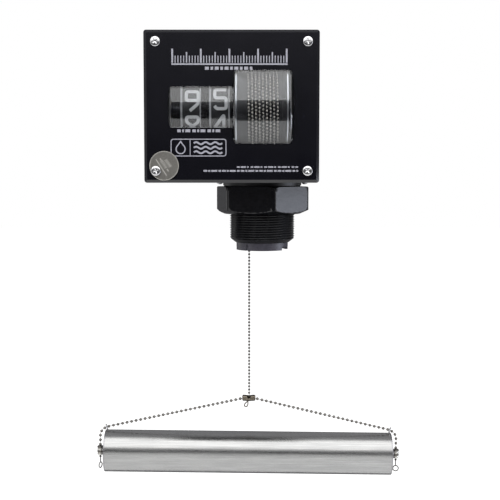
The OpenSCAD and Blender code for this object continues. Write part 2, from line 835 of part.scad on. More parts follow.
// Wound chain: a tube swept along its helix, from the leaving point over the top and forwards
module wound_chain() {
    rings = round(wrap_turns * wrap_rings);
    start = 0.62 * bead_pitch / chain_line_r * 180 / PI;
    r = bead_d / 2;
    points = [for (i = [0:rings]) let (
            t = start + (wrap_turns * 360 - start) * i / rings,
            x = wrap_x0 + wrap_pitch * t / 360)
        for (j = [0:wrap_sides - 1]) let (
            a = 360 * j / wrap_sides,
            d = chain_line_r + r * cos(a))
        [x + r * sin(a), axis_y + d * cos(t), axis_z + d * sin(t)]];
    sides = [for (i = [0:rings - 1], j = [0:wrap_sides - 1]) let (
            a = i * wrap_sides + j,
            b = i * wrap_sides + (j + 1) % wrap_sides)
        [a, b, b + wrap_sides, a + wrap_sides]];
    ends = [[for (j = [wrap_sides - 1:-1:0]) j], [for (j = [0:wrap_sides - 1]) rings * wrap_sides + j]];
    color(zinc) polyhedron(points, concat(sides, ends));
}

module wheel_spacer() {
    color(bright) ring_on_axis(left_plate_x + sheet_t + bush_flange_t + 0.3, tens_x0 - 0.4,
        arbor_r, shaft_r);
}

module spring_arbor() {
    color(bright) ring_on_axis(drum_x1, right_plate_x - spring_cup_wall - 0.4, arbor_r, shaft_r);
}

module shaft_clips() {
    clip_t = 0.7;
    color(bright) {
        ring_on_axis(left_plate_x - 0.3 - clip_t, left_plate_x - 0.3, shaft_r + 2.2, shaft_r);
        ring_on_axis(right_plate_x + sheet_t + bush_flange_t + 0.2,
            right_plate_x + sheet_t + bush_flange_t + 0.2 + clip_t, shaft_r + 2.2, shaft_r);
    }
}

// The chain and the float

// Middle of one bead, counted from the coupling up: the chain leans over inside the nipple
function bead_at(i) = let (t = min(max((i - lean_low) / (lean_high - lean_low), 0), 1))
    [hang_x + (lead_x - hang_x) * t, 0, chain_foot_z + i * bead_pitch];

module hanging_chain() {
    stops = [0, lean_low, lean_high, chain_beads - 1];
    color(zinc) {
        for (i = [0:chain_beads - 1]) translate(bead_at(i)) sphere(d = bead_d, $fn = 24);
        for (i = [0:2]) rod(bead_at(stops[i]), bead_at(stops[i + 1]), link_r);
    }
}

// Places a part drawn about the float's middle at the float's true place and roll
module at_float() {
    translate([float_x, 0, float_z]) rotate([0, float_roll, 0]) children();
}

// A point of the case's frame, seen in the float's own frame
function in_float(x, z) = let (dx = x - float_x, dz = z - float_z)
    [dx * cos(float_roll) - dz * sin(float_roll), 0, dx * sin(float_roll) + dz * cos(float_roll)];

// The bridle's way on one side: coupling, over the float's corner, down to the barrel
function bridle_route(side) = [
    in_float(coupling_x + side * (coupling_l / 2 - 2.4), coupling_z),
    [side * (float_l / 2 - 5.5), 0, float_r + eye_rise + 1.2],
    [side * (float_l / 2 - 1.2), 0, float_r + eye_rise],
    [side * (float_l / 2 + 2.8), 0, float_r + 0.9],
    [side * (float_l / 2 + barrel_gap), 0, float_r - 3.2],
    [side * (float_l / 2 + barrel_gap), 0, barrel_h / 2 - 3]];

function way(p, i) = i < 1 ? 0 : way(p, i - 1) + norm(p[i] - p[i - 1]);

// Point at a distance s along a route
function along(p, s, i = 0) = let (l = norm(p[i + 1] - p[i]))
    (s <= l || i == len(p) - 2) ? p[i] + (p[i + 1] - p[i]) * s / l : along(p, s - l, i + 1);

module bridle_chain(side) {
    route = bridle_route(side);
    total = way(route, len(route) - 1);
    beads = round(total / bridle_pitch);
    step = total / beads;
    at = [for (i = [0:beads]) along(route, i * step)];
    color(zinc) at_float() {
        for (p = at) translate(p) sphere(d = bridle_bead_d, $fn = 24);
        for (i = [1:beads]) rod(at[i - 1], at[i], link_r);
    }
}

module bridle_chain_left() {
    bridle_chain(-1);
}

module bridle_chain_right() {
    bridle_chain(1);
}

// Saddle-shaped sleeve where the hanging chain meets the bridle
module chain_coupling() {
    r = coupling_r;
    inner = r - coupling_wall;
    half = coupling_l / 2;
    color(zinc) translate([coupling_x, 0, coupling_z]) difference() {
        union() {
            rotate([0, 90, 0]) cylinder(h = coupling_l, r = r, center = true);
            translate([0, 0, -r - 0.2]) cylinder(h = r, r = r);
        }
        rotate([0, 90, 0]) cylinder(h = coupling_l - 1.6, r = inner, center = true);
        rotate([0, 90, 0]) cylinder(h = coupling_l + 2 * past, r = link_r + 0.8, center = true);
        translate([0, r + past, 0]) rotate([90, 0, 0]) linear_extrude(2 * (r + past))
            polygon([[-0.8, 0.2], [0.8, 0.2], [3.4, r + past], [-3.4, r + past]]);
        translate([hang_x - coupling_x, 0, chain_foot_z - coupling_z]) sphere(d = bead_d + 0.8);
        translate([swivel_x - coupling_x, 0, swivel_z - coupling_z]) sphere(r = swivel_head_r + 0.3);
        translate([swivel_x - coupling_x, 0, -r - past]) cylinder(h = r, r = wire_r + swivel_gap);
    }
}

module float_tube() {
    color(steel) at_float() rotate([0, 90, 0]) difference() {
        cylinder(h = float_l - 2 * cap_t, r = float_r, center = true, $fn = 96);
        cylinder(h = float_l, r = float_r - float_wall, center = true, $fn = 96);
    }
}

module end_cap(side) {
    inner = side * (float_l / 2 - cap_t);
    lip = 4;
    color(steel) at_float() translate([inner, 0, 0]) rotate([0, side * 90, 0]) {
        cylinder(h = cap_t, r = float_r, $fn = 96);
        translate([0, 0, -lip]) difference() {
            cylinder(h = lip + 0.01, r = float_r - float_wall - 0.05, $fn = 96);
            translate([0, 0, -past]) cylinder(h = lip + past, r = float_r - 2 * float_wall, $fn = 96);
        }
    }
}

module end_cap_left() {
    end_cap(-1);
}

module end_cap_right() {
    end_cap(1);
}

module end_stud(side) {
    color(bright) at_float() translate([side * float_l / 2, 0, 0]) rotate([0, side * 90, 0])
        cylinder(h = barrel_gap - sqrt(pow(barrel_r, 2) - pow(stud_r, 2)), r = stud_r);
}

module end_stud_left() {
    end_stud(-1);
}

module end_stud_right() {
    end_stud(1);
}

// Upright connector at the float's end: the bridle goes in at its top, the swivel at its foot
module barrel_connector(side) {
    low = -barrel_h / 2 + barrel_r;
    top = barrel_h / 2;
    inner = barrel_r - barrel_wall;
    color(zinc) at_float() translate([side * (float_l / 2 + barrel_gap), 0, 0]) difference() {
        union() {
            translate([0, 0, low]) cylinder(h = top - low, r = barrel_r);
            translate([0, 0, low]) sphere(r = barrel_r);
            for (z = [top - 0.9, -0.2]) translate([0, 0, z]) cylinder(h = 0.9, r = barrel_r + 0.3);
        }
        translate([0, 0, low]) cylinder(h = top - low - 0.8, r = inner);
        translate([0, 0, low]) sphere(r = inner);
        translate([0, 0, top - past]) cylinder(h = 2 * past, r = link_r + 0.3);
        translate([0, 0, -top - past]) cylinder(h = 3, r = wire_r + swivel_gap);
        rotate([0, -side * 90, 0]) cylinder(h = barrel_r + past, r = stud_r + 0.02);
    }
}

module barrel_connector_left() {
    barrel_connector(-1);
}

module barrel_connector_right() {
    barrel_connector(1);
}

// Wire eye on the float's shoulder that the bridle runs through
module guide_eye(side) {
    eye_r = bridle_bead_d / 2 + 0.8;
    color(steel) at_float() translate([side * (float_l / 2 - 1.2), 0, float_r + eye_rise]) {
        rotate([0, 90 + side * eye_tilt, 0]) rotate_extrude()
            translate([eye_r, 0]) circle(0.4, $fn = 16);
        translate([-side * eye_r * sin(eye_tilt), 0, -eye_rise])
            cylinder(h = eye_rise - eye_r * cos(eye_tilt), r = 0.5, $fn = 16);
    }
}

module guide_eye_left() {
    guide_eye(-1);
}

module guide_eye_right() {
    guide_eye(1);
}

// Swivel: ball head, neck, knot, shank and wire ring, drawn down from the ball's middle
module swivel(neck, knot_r, shank, ring_r, turn, lean) {
    color(zinc) {
        sphere(r = swivel_head_r, $fn = 24);
        translate([0, 0, -neck]) cylinder(h = neck, r = wire_r, $fn = 16);
        translate([0, 0, -neck]) sphere(r = knot_r, $fn = 24);
        translate([0, 0, -neck]) rotate([0, lean, turn]) {
            translate([0, 0, -shank]) cylinder(h = shank, r = wire_r, $fn = 16);
            translate([0, 0, -shank - ring_r]) rotate([90, 0, 0]) rotate_extrude()
                translate([ring_r, 0]) circle(wire_r, $fn = 16);
        }
    }
}

module swivel_ring_end(side, turn) {
    at_float() translate([side * (float_l / 2 + barrel_gap), 0, 0]) rotate([0, -float_roll, 0])
        translate([0, 0, -barrel_h / 2 + barrel_r]) swivel(3.9, 1.1, 5.8, 2.6, turn, 0);
}

module swivel_ring_left() {
    swivel_ring_end(-1, 65);
}

module swivel_ring_right() {
    swivel_ring_end(1, 0);
}

module swivel_ring_center() {
    translate([swivel_x, 0, swivel_z]) swivel(2.8, 0.6, 1, 1.9, 0, 23);
}

case();
cover_gasket();
front_cover();
lens();
cover_screws();
tag_screw();
nipple_gasket();
hex_nipple();
guide_sleeve();
chassis();
chassis_screws();
shaft_bushes();
spring_cup();
spring_cover();
power_spring();
pinion_bracket();
pinion_pin();
main_shaft();
chain_drum();
drum_flange_left();
drum_flange_right();
wound_chain();
units_wheel();
wheel_spacer();
spring_arbor();
shaft_clips();
tens_wheel();
transfer_pinion();
tag_disc();
hanging_chain();
chain_coupling();
bridle_chain_left();
bridle_chain_right();
float_tube();
end_cap_left();
end_cap_right();
end_stud_left();
end_stud_right();
barrel_connector_left();
barrel_connector_right();
guide_eye_left();
guide_eye_right();
swivel_ring_left();
swivel_ring_right();
swivel_ring_center();
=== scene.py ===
"""Looks of a mechanical float level gauge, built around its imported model.

A float hangs on a bead chain that runs up through a pipe nipple onto a spring-wound drum. Two number
wheels and the wound chain are seen through a clear lens with two domes. Lengths are in millimetres
until a mesh is made, and the frame's own boxes and joints give every place.
"""
import json
import logging
import math
from dataclasses import dataclass, field
from enum import Enum
from typing import Any, Callable, Optional, Sequence

import bmesh
import bpy
from mathutils import Matrix, Vector


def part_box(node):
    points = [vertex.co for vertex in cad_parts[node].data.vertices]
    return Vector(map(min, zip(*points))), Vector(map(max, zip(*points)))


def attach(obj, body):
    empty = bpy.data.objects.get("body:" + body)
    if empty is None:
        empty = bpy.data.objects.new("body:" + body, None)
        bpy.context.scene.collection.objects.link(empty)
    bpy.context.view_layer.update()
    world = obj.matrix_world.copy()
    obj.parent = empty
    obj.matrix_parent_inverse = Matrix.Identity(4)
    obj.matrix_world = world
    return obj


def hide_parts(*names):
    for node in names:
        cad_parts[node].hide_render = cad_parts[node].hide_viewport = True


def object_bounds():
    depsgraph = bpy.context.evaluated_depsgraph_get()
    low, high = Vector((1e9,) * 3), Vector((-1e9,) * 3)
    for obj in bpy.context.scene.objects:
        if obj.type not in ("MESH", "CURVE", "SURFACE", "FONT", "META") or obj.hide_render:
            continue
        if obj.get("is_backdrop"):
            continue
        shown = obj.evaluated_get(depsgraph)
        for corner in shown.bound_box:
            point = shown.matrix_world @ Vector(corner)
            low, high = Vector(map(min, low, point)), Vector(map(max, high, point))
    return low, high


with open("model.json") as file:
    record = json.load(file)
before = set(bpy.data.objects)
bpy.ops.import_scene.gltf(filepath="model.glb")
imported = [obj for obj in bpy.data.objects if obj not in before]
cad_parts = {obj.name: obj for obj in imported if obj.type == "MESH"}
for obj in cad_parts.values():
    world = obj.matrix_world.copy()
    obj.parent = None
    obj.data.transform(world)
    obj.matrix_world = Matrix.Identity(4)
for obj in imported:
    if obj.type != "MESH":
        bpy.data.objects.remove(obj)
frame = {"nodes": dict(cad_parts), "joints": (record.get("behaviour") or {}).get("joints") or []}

LOG = logging.getLogger("float_level_gauge")
MM = 0.001
WHITE = "#ffffff"
WELD = 0.002        # points nearer to each other than this become one, in mm
CENTRE_R = 0.01     # radius at which a turned shape closes on its axis, in mm
UNBENT = 200.0      # step for strokes on a flat face, in mm: longer than any of them
TINY = 1e-6         # shorter than this, a vector has no direction

Point = tuple[float, float, float]
Flat = tuple[float, float]
Path = list[Flat]


class Axis(Enum):
    """Direction that a turned shape is turned about."""

    X = "x"
    Y = "y"
    Z = "z"


class Body(Enum):
    """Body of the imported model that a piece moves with."""

    HOUSING = "housing"
    DRUM = "drum"
    TENS = "tens"
    TAG = "tag"
    HOIST = "hoist"
    FLOAT = "float"
    RING_CENTER = "ring_center"


class Side(Enum):
    """End of the float, with the way that it points along X."""

    LEFT = -1
    RIGHT = 1

    @property
    def label(self) -> str:
        """The side's word in the names of pieces and nodes."""
        return self.name.lower()


class Pattern(Enum):
    """How a surface pattern lies on its part."""

    GRAIN = "grain"
    TURNED_X = "rings about an axis along X"


def linear(hex_colour: str) -> tuple[float, float, float, float]:
    """Turns an sRGB hex colour into linear light.

    Args:
        hex_colour: Colour written as "#rrggbb".

    Returns:
        Red, green, blue and alpha in linear light.
    """
    parts = [int(hex_colour[i:i + 2], 16) / 255 for i in (1, 3, 5)]
    red, green, blue = (c / 12.92 if c <= 0.04045 else ((c + 0.055) / 1.055) ** 2.4 for c in parts)
    return red, green, blue, 1.0


def add_node(tree: bpy.types.NodeTree, kind: str, settings: Optional[dict[str, Any]] = None,
             inputs: Optional[dict[Any, Any]] = None) -> bpy.types.Node:
    """Adds one node with its settings, values and links.

    Args:
        tree: Node tree that takes the node.
        kind: Blender's name for the node.
        settings: Properties of the node itself.
        inputs: Value or incoming socket for each input, by name or number.

    Returns:
        The new node.
    """
    node = tree.nodes.new(kind)
    for key, value in (settings or {}).items():
        setattr(node, key, value)
    for key, value in (inputs or {}).items():
        if isinstance(value, bpy.types.NodeSocket):
            tree.links.new(value, node.inputs[key])
        else:
            node.inputs[key].default_value = value
    return node


def fresh_tree(owner: Any) -> bpy.types.NodeTree:
    """Empties the node tree of a material or a world.

    Args:
        owner: The material or world.

    Returns:
        Its node tree, without nodes.
    """
    owner.use_nodes = True
    owner.node_tree.nodes.clear()
    return owner.node_tree


def put(name: str, data: Any) -> bpy.types.Object:
    """Puts a mesh, lamp or camera in the scene.

    Args:
        name: Name of the new object.
        data: The mesh, lamp or camera.

    Returns:
        The new object.
    """
    thing = bpy.data.objects.new(name, data)
    bpy.context.scene.collection.objects.link(thing)
    return thing


def box_mm(node: str) -> tuple[Vector, Vector]:
    """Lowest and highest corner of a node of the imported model, in mm."""
    low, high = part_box(node)
    return low / MM, high / MM


def joint_place(name: str) -> Vector:
    """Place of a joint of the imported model, in mm."""
    joint = next(joint for joint in frame["joints"] if joint["name"] == name)
    return Vector(joint["pos_m"]) / MM


# Stretch of a pattern's values over which the colour and the gloss run, and its own roughness.
TINT_SPAN = (0.32, 0.68)
GLOSS_SPAN = (0.3, 0.7)
LEAST_ROUGHNESS = 0.02
NOISE_ROUGHNESS = 0.55


@dataclass(frozen=True)
class Texture:
    """A surface pattern at its real size.

    size is the length in mm of one feature along X, Y and Z (or outwards, for rings). depth is the
    height of its relief in mm, colour the share of the second colour, gloss the swing in roughness,
    and centre a point on the axis of rings.
    """

    size: Point
    depth: float = 0.0
    colour: float = 0.0
    gloss: float = 0.0
    detail: float = 3.0
    pattern: Pattern = Pattern.GRAIN
    centre: Point = (0.0, 0.0, 0.0)

    def height(self, tree: bpy.types.NodeTree) -> bpy.types.NodeSocket:
        """Builds the pattern's nodes.

        Args:
            tree: The material's node tree.

        Returns:
            The socket that carries the pattern, about 0.5 on average.
        """
        place = add_node(tree, "ShaderNodeTexCoord").outputs["Object"]
        scale = [1 / (s * MM) for s in self.size]
        if self.pattern is Pattern.GRAIN:
            spread = add_node(tree, "ShaderNodeMapping", inputs={"Vector": place, "Scale": scale})
            vector = spread.outputs["Vector"]
        else:
            keep = (0, 1, 1)
            offset = [-c * MM * k for c, k in zip(self.centre, keep)]
            flat = add_node(tree, "ShaderNodeMapping",
                            inputs={"Vector": place, "Location": offset, "Scale": keep})
            radius = add_node(tree, "ShaderNodeVectorMath", {"operation": "LENGTH"},
                              {0: flat.outputs["Vector"]})
            rings = add_node(tree, "ShaderNodeMath", {"operation": "MULTIPLY"},
                             {0: radius.outputs["Value"], 1: scale[0]})
            vector = add_node(tree, "ShaderNodeCombineXYZ",
                              inputs={"X": rings.outputs["Value"]}).outputs["Vector"]
        noise = add_node(tree, "ShaderNodeTexNoise", inputs={
            "Vector": vector, "Scale": 1.0, "Detail": self.detail, "Roughness": NOISE_ROUGHNESS})
        return noise.outputs["Fac"]


@dataclass(frozen=True)
class Finish:
    """One material: what it is made of, how its surface was made and what that shows."""

    name: str
    slot: str
    colour: str
    second: str
    roughness: float
    textures: tuple[Texture, ...]
    metallic: float = 0.0
    ior: float = 1.5
    transmission: float = 0.0

    def material(self) -> bpy.types.Material:
        """Builds the material, or finds the one already built.

        Returns:
            The finish's material.
        """
        known = bpy.data.materials.get(self.name)
        if known:
            return known
        material = bpy.data.materials.new(self.name)
        tree = fresh_tree(material)
        colour: Any = linear(self.colour)
        shader = add_node(tree, "ShaderNodeBsdfPrincipled", inputs={
            "Base Color": colour, "Metallic": self.metallic, "Roughness": self.roughness,
            "IOR": self.ior, "Transmission Weight": self.transmission})
        add_node(tree, "ShaderNodeOutputMaterial", inputs={"Surface": shader.outputs["BSDF"]})
        for texture in self.textures:
            height = texture.height(tree)
            colour = self.tint(tree, texture, height, colour)
            self.relief(tree, texture, height, shader)
        if isinstance(colour, bpy.types.NodeSocket):
            tree.links.new(colour, shader.inputs["Base Color"])
        return material

    def tint(self, tree: bpy.types.NodeTree, texture: Texture, height: bpy.types.NodeSocket,
             colour: Any) -> Any:
        """Mixes the second colour in where the pattern is high.

        Args:
            tree: The material's node tree.
            texture: Pattern that is being laid on.
            height: The pattern's socket.
            colour: Colour, or its socket, before this pattern.

        Returns:
            Colour, or its socket, after this pattern.
        """
        if not texture.colour:
            return colour
        share = add_node(tree, "ShaderNodeMapRange", inputs={
            "Value": height, "From Min": TINT_SPAN[0], "From Max": TINT_SPAN[1], "To Min": 0.0,
            "To Max": texture.colour})
        mix = add_node(tree, "ShaderNodeMix", {"data_type": "RGBA"}, {
            0: share.outputs["Result"], 6: colour, 7: linear(self.second)})
        return mix.outputs[2]

    def relief(self, tree: bpy.types.NodeTree, texture: Texture, height: bpy.types.NodeSocket,
               shader: bpy.types.Node) -> None:
        """Gives the shader the pattern's bumps and its swing in roughness.

        Args:
            tree: The material's node tree.
            texture: Pattern that is being laid on.
            height: The pattern's socket.
            shader: The material's shader.
        """
        if texture.gloss:
            rough = add_node(tree, "ShaderNodeMapRange", inputs={
                "Value": height, "From Min": GLOSS_SPAN[0], "From Max": GLOSS_SPAN[1],
                "To Min": max(self.roughness - texture.gloss, LEAST_ROUGHNESS),
                "To Max": self.roughness + texture.gloss})
            tree.links.new(rough.outputs["Result"], shader.inputs["Roughness"])
        if texture.depth:
            normal = shader.inputs["Normal"]
            bump = add_node(tree, "ShaderNodeBump", inputs={
                "Height": height, "Distance": texture.depth * MM, "Strength": 1.0})
            if normal.is_linked:
                tree.links.new(normal.links[0].from_socket, bump.inputs["Normal"])
            tree.links.new(bump.outputs["Normal"], normal)


# A point on the shaft that the drum turns with.
DRUM_AXIS: Point = tuple(joint_place("drum_turn"))


# Black ABS, injection moulded with a fine eroded grain: near-black, with a soft broken sheen.
CASE_BLACK = Finish("moulded_black_abs", "case_black", "#060608", "#0c0c0f", 0.36, (
    Texture((0.9, 0.9, 0.9), depth=0.03, gloss=0.06),
    Texture((14, 14, 14), colour=0.5)))
# Polycarbonate plate, pressed smooth: a deep blue-black mirror with a few specks of dust.
COVER_BLACK = Finish("gloss_black_polycarbonate", "cover_black", "#0c0c13", "#131319", 0.11, (
    Texture((24, 24, 24), depth=0.02, colour=0.6, detail=1.0),
    Texture((1.6, 1.6, 1.6), gloss=0.03, detail=5.0)))
# EPDM rubber, die cut: flat black that swallows light.
RUBBER = Finish("die_cut_epdm_rubber", "gasket_rubber", "#19191b", "#232325", 0.85, (
    Texture((0.7, 0.7, 0.7), depth=0.04, colour=0.6),))
# Clear acrylic, blown over a form: sharp reflections that swim a little along the domes.
LENS_CLEAR = Finish("blown_clear_acrylic", "lens_clear", "#f4f6f8", "#f4f6f8", 0.0, (
    Texture((30, 18, 18), depth=0.035, detail=1.0),), ior=1.49, transmission=1.0)
# Stainless steel, cold headed and tumbled: small bright heads with a soft edge.
SCREW_STEEL = Finish("tumbled_stainless_steel", "screw_steel", "#d2d2d3", "#a9a9ab", 0.2, (
    Texture((0.5, 0.5, 0.5), depth=0.006, gloss=0.06, colour=0.35),), metallic=1.0)
# Carbon steel screws, zinc plated and left bright: soft white heads in the shade under the case.
ZINC_STEEL = Finish("bright_zinc_screw", "screw_steel", "#f0f0f1", "#cfcfd2", 0.36, (
    Texture((0.8, 0.8, 0.8), depth=0.01, gloss=0.06, colour=0.4),), metallic=1.0)
# Glass-filled nylon, moulded thick: black with a cloudy grey sheen where the fibres lie near the skin.
NIPPLE_BLACK = Finish("glass_filled_black_nylon", "nipple_black", "#050509", "#0d0e13", 0.22, (
    Texture((1.4, 1.4, 1.4), depth=0.004, gloss=0.04),
    Texture((10, 10, 7), colour=0.8, depth=0.06, detail=2.0)))
# Polypropylene tube, extruded and sawn: softer and a little greyer than the nylon round it.
SLEEVE_BLACK = Finish("sawn_black_polypropylene", "sleeve_black", "#3b3a43", "#4f4c58", 0.36, (
    Texture((6, 6, 1.2), depth=0.04, gloss=0.05, colour=0.6),))
# Zinc-plated mild steel sheet, folded: cool grey with faint clouds of plating.
CHASSIS_STEEL = Finish("zinc_plated_sheet_steel", "chassis_steel", "#aeb1b5", "#8d9196", 0.34, (
    Texture((11, 11, 11), colour=0.7, gloss=0.08),
    Texture((0.6, 0.6, 0.6), depth=0.01)), metallic=1.0)
# Carbon steel bar, ground and oiled black: dark, with a narrow sheen along it.
SHAFT_STEEL = Finish("oil_blacked_carbon_steel", "shaft_steel", "#4c4c50", "#38383c", 0.3, (
    Texture((0.3, 8, 8), depth=0.004, gloss=0.05, colour=0.3),), metallic=1.0)
# Bronze powder, pressed and sintered: warm brown metal with open pores.
BUSH_BRONZE = Finish("sintered_bronze", "bush_bronze", "#a47f49", "#6f5227", 0.42, (
    Texture((0.4, 0.4, 0.4), depth=0.03, colour=0.7),), metallic=1.0)
# Spring steel strip, hardened and blued: dark slate blue with oily patches.
SPRING_STEEL = Finish("blued_spring_steel", "spring_steel", "#4a5361", "#2e333c", 0.28, (
    Texture((7, 7, 2), colour=0.8, gloss=0.08),), metallic=1.0)
# Black ABS wheel, moulded and left as it came: satin, so the print stands off it.
WHEEL_BLACK = Finish("satin_black_abs", "wheel_black", "#121214", "#1a1a1e", 0.38, (
    Texture((2.4, 2.4, 2.4), depth=0.0015, gloss=0.02),
    Texture((8, 8, 8), colour=0.5)))
# Black nylon drum, turned after moulding: fine rings round it.
DRUM_BLACK = Finish("turned_black_nylon", "drum_black", "#121214", "#1b1b1f", 0.4, (
    Texture((0.5, 40, 40), depth=0.03, gloss=0.08, colour=0.5),))
# Acetal pinion, moulded: warm white with a waxy skin.
PINION_ACETAL = Finish("moulded_white_acetal", "pinion_acetal", "#e2ded0", "#cfc9b6", 0.32, (
    Texture((2.5, 2.5, 2.5), colour=0.5, depth=0.01),))
# Aluminium disc, faced on a lathe: bright rings about the shaft.
FLANGE_ALUMINIUM = Finish("faced_aluminium", "flange_aluminium", "#c6c7ca", "#9fa1a6", 0.26, (
    Texture((0.35, 1, 1), depth=0.01, gloss=0.06, colour=0.5, pattern=Pattern.TURNED_X,
            centre=DRUM_AXIS),), metallic=1.0)
# Nickel-plated brass beads, barrel polished: small mirrors, dulled between the beads.
CHAIN_NICKEL = Finish("nickel_plated_bead_chain", "chain_nickel", "#9f9b94", "#6f6b64", 0.14, (
    Texture((1.4, 1.4, 1.4), depth=0.006, gloss=0.05, colour=0.55),), metallic=1.0)
# The same chain where it hangs in the tank, also used for the barrels' bands and the swivel rings: its base
# colour painted darker as shade, with small hard highlights.
SHADED_NICKEL = Finish("tarnished_bead_chain", "chain_nickel", "#66635f", "#403e3b", 0.16, (
    Texture((1.4, 1.4, 1.4), depth=0.006, gloss=0.05, colour=0.6),), metallic=1.0)
# The bridle's larger beads: base colour painted darker than the wound chain as shade, though lighter than
# the hanging chain.
BRIDLE_NICKEL = Finish("worn_bead_chain", "chain_nickel", "#84817c", "#57544f", 0.16, (
    Texture((1.8, 1.8, 1.8), depth=0.006, gloss=0.05, colour=0.55),), metallic=1.0)
# Nickel-plated brass barrels, bobbed bright: white lobes between bands painted dark as shade.
BARREL_NICKEL = Finish("bobbed_nickel_barrel", "chain_nickel", "#c6c4bf", "#9a9892", 0.1, (
    Texture((2.2, 2.2, 2.2), depth=0.004, gloss=0.04, colour=0.4),), metallic=1.0)
# Nickel-plated brass, stamped and aged: browner and duller than the beads.
COUPLING_NICKEL = Finish("aged_nickel_plated_brass", "chain_nickel", "#7a7368", "#453f36", 0.24, (
    Texture((1.1, 1.1, 1.1), depth=0.02, gloss=0.1, colour=0.8),), metallic=1.0)
# Stainless steel tag, blanked and tumbled: dull grey with a scatter of light marks.
TAG_STEEL = Finish("tumbled_stainless_tag", "tag_steel", "#93918c", "#767470", 0.46, (
    Texture((0.8, 0.8, 0.8), depth=0.02, gloss=0.08, colour=0.7, detail=5.0),
    Texture((7, 7, 7), colour=0.35)), metallic=1.0)
# The same steel where it is etched: a matt frost that stays pale where the disc reflects the dark.
ETCHED_STEEL = Finish("frosted_etch_mark", "tag_steel", "#bcbab4", "#9c9a94", 0.7, (
    Texture((0.6, 0.6, 0.6), depth=0.01, colour=0.5),), metallic=0.25)
# Stainless steel tube, brushed along its length. The real lines are near 0.1 mm: drawn coarser to show.
FLOAT_STEEL = Finish("brushed_stainless_tube", "float_steel", "#acacab", "#8e8e8e", 0.27, (
    Texture((46, 1.0, 1.0), depth=0.008, gloss=0.05, colour=0.55, detail=2.0),
    Texture((24, 5, 5), colour=0.3, detail=2.0)), metallic=1.0)
# Stainless steel beside the welds, tinted by the heat: a shade darker and duller.
WELD_STEEL = Finish("heat_tinted_stainless", "float_steel", "#a09fa0", "#828184", 0.3, (
    Texture((0.9, 0.9, 0.9), depth=0.01, colour=0.6, gloss=0.05),), metallic=1.0)
# Light grey screen ink: flat, thin and slightly uneven in cover.
PRINT_INK = Finish("grey_screen_ink", "cover_black", "#b6b6c0", "#9292a0", 0.5, (
    Texture((0.9, 0.9, 0.9), colour=0.6, depth=0.006),))
# The same print on the wheels' lips, thinned where the carrier rubs it.
LIP_INK = Finish("worn_pad_print", "wheel_black", "#b4b4b6", "#8e8e92", 0.4, (
    Texture((1.4, 1.4, 1.4), colour=0.6, depth=0.004),))
# White pad print on the wheels: dense and a little glossy.
DIGIT_INK = Finish("white_pad_print", "wheel_black", "#d4d4d4", "#bebec1", 0.38, (
    Texture((1.1, 1.1, 1.1), colour=0.5, depth=0.004),))


class Surface:
    """Points in mm and faces of one piece while it is being built."""

    def __init__(self) -> None:
        """Starts with no points and no faces."""
        self.points: list[Point] = []
        self.faces: list[tuple[int, ...]] = []

    def grid(self, rows: Sequence[Sequence[Point]], around: bool = True, closed: bool = False,
             capped: bool = False) -> None:
        """Adds rows of points joined by four-sided faces.

        Args:
            rows: Rows of equally many points.
            around: Joins each row's last point to its first.
            closed: Joins the last row to the first.
            capped: Closes the first and the last row with a face each.
        """
        base = len(self.points)
        width = len(rows[0])
        for row in rows:
            self.points.extend(row)
        columns = width if around else width - 1
        spans = len(rows) if closed else len(rows) - 1
        for i in range(spans):
            low = base + i * width
            high = base + (i + 1) % len(rows) * width
            for j in range(columns):
                k = (j + 1) % width
                self.faces.append((low + j, low + k, high + k, high + j))
        if capped:
            last = base + (len(rows) - 1) * width
            self.faces.append(tuple(base + j for j in reversed(range(width))))
            self.faces.append(tuple(last + j for j in range(width)))

    def piece(self, name: str, finish: Finish, body: Body, sharp: float = 40.0,
              replaces: Sequence[str] = ()) -> None:
        """Makes the mesh, dresses it and hangs it on its body.

        Args:
            name: Name of the piece.
            finish: Its finish.
            body: Body that it moves with.
            sharp: Edges that turn by more than this many degrees stay sharp.
            replaces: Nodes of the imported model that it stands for.
        """
        mesh = bpy.data.meshes.new(name)
        mesh.from_pydata([(x * MM, y * MM, z * MM) for x, y, z in self.points], [], self.faces)
        build = bmesh.new()
        build.from_mesh(mesh)
        bmesh.ops.remove_doubles(build, verts=build.verts, dist=WELD * MM)
        bmesh.ops.recalc_face_normals(build, faces=build.faces)
        build.to_mesh(mesh)
        build.free()
        mesh.shade_smooth()
        mesh.set_sharp_from_angle(angle=math.radians(sharp))
        mesh.materials.append(finish.material())
        piece = put(name, mesh)
        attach(piece, body.value)
        if replaces:
            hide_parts(*replaces)
        LOG.info("%s: %d faces on %s", name, len(mesh.polygons), body.value)


def spokes(steps: int, lead: float = 0.0) -> list[Flat]:
    """Cosine and sine of equal steps round a circle.

    Args:
        steps: Number of steps.
        lead: How far round the first one stands, in steps.

    Returns:
        A pair for each step.
    """
    angles = [2 * math.pi * (k + lead) / steps for k in range(steps)]
    return [(math.cos(angle), math.sin(angle)) for angle in angles]


def turned(axis: Axis, centre: Point, profile: Sequence[Flat], steps: int) -> list[list[Point]]:
    """Rows of a turned shape.

    Args:
        axis: Direction that it is turned about.
        centre: A point on the axis.
        profile: Distance along the axis and radius of each row.
        steps: Points round each row.

    Returns:
        Rows of points, ready for a grid.
    """
    x, y, z = centre
    rows = []
    for along, radius in profile:
        circle = [(radius * c, radius * s) for c, s in spokes(steps)]
        if axis is Axis.X:
            rows.append([(x + along, y + c, z + s) for c, s in circle])
        elif axis is Axis.Y:
            rows.append([(x + c, y + along, z + s) for c, s in circle])
        else:
            rows.append([(x + c, y + s, z + along) for c, s in circle])
    return rows


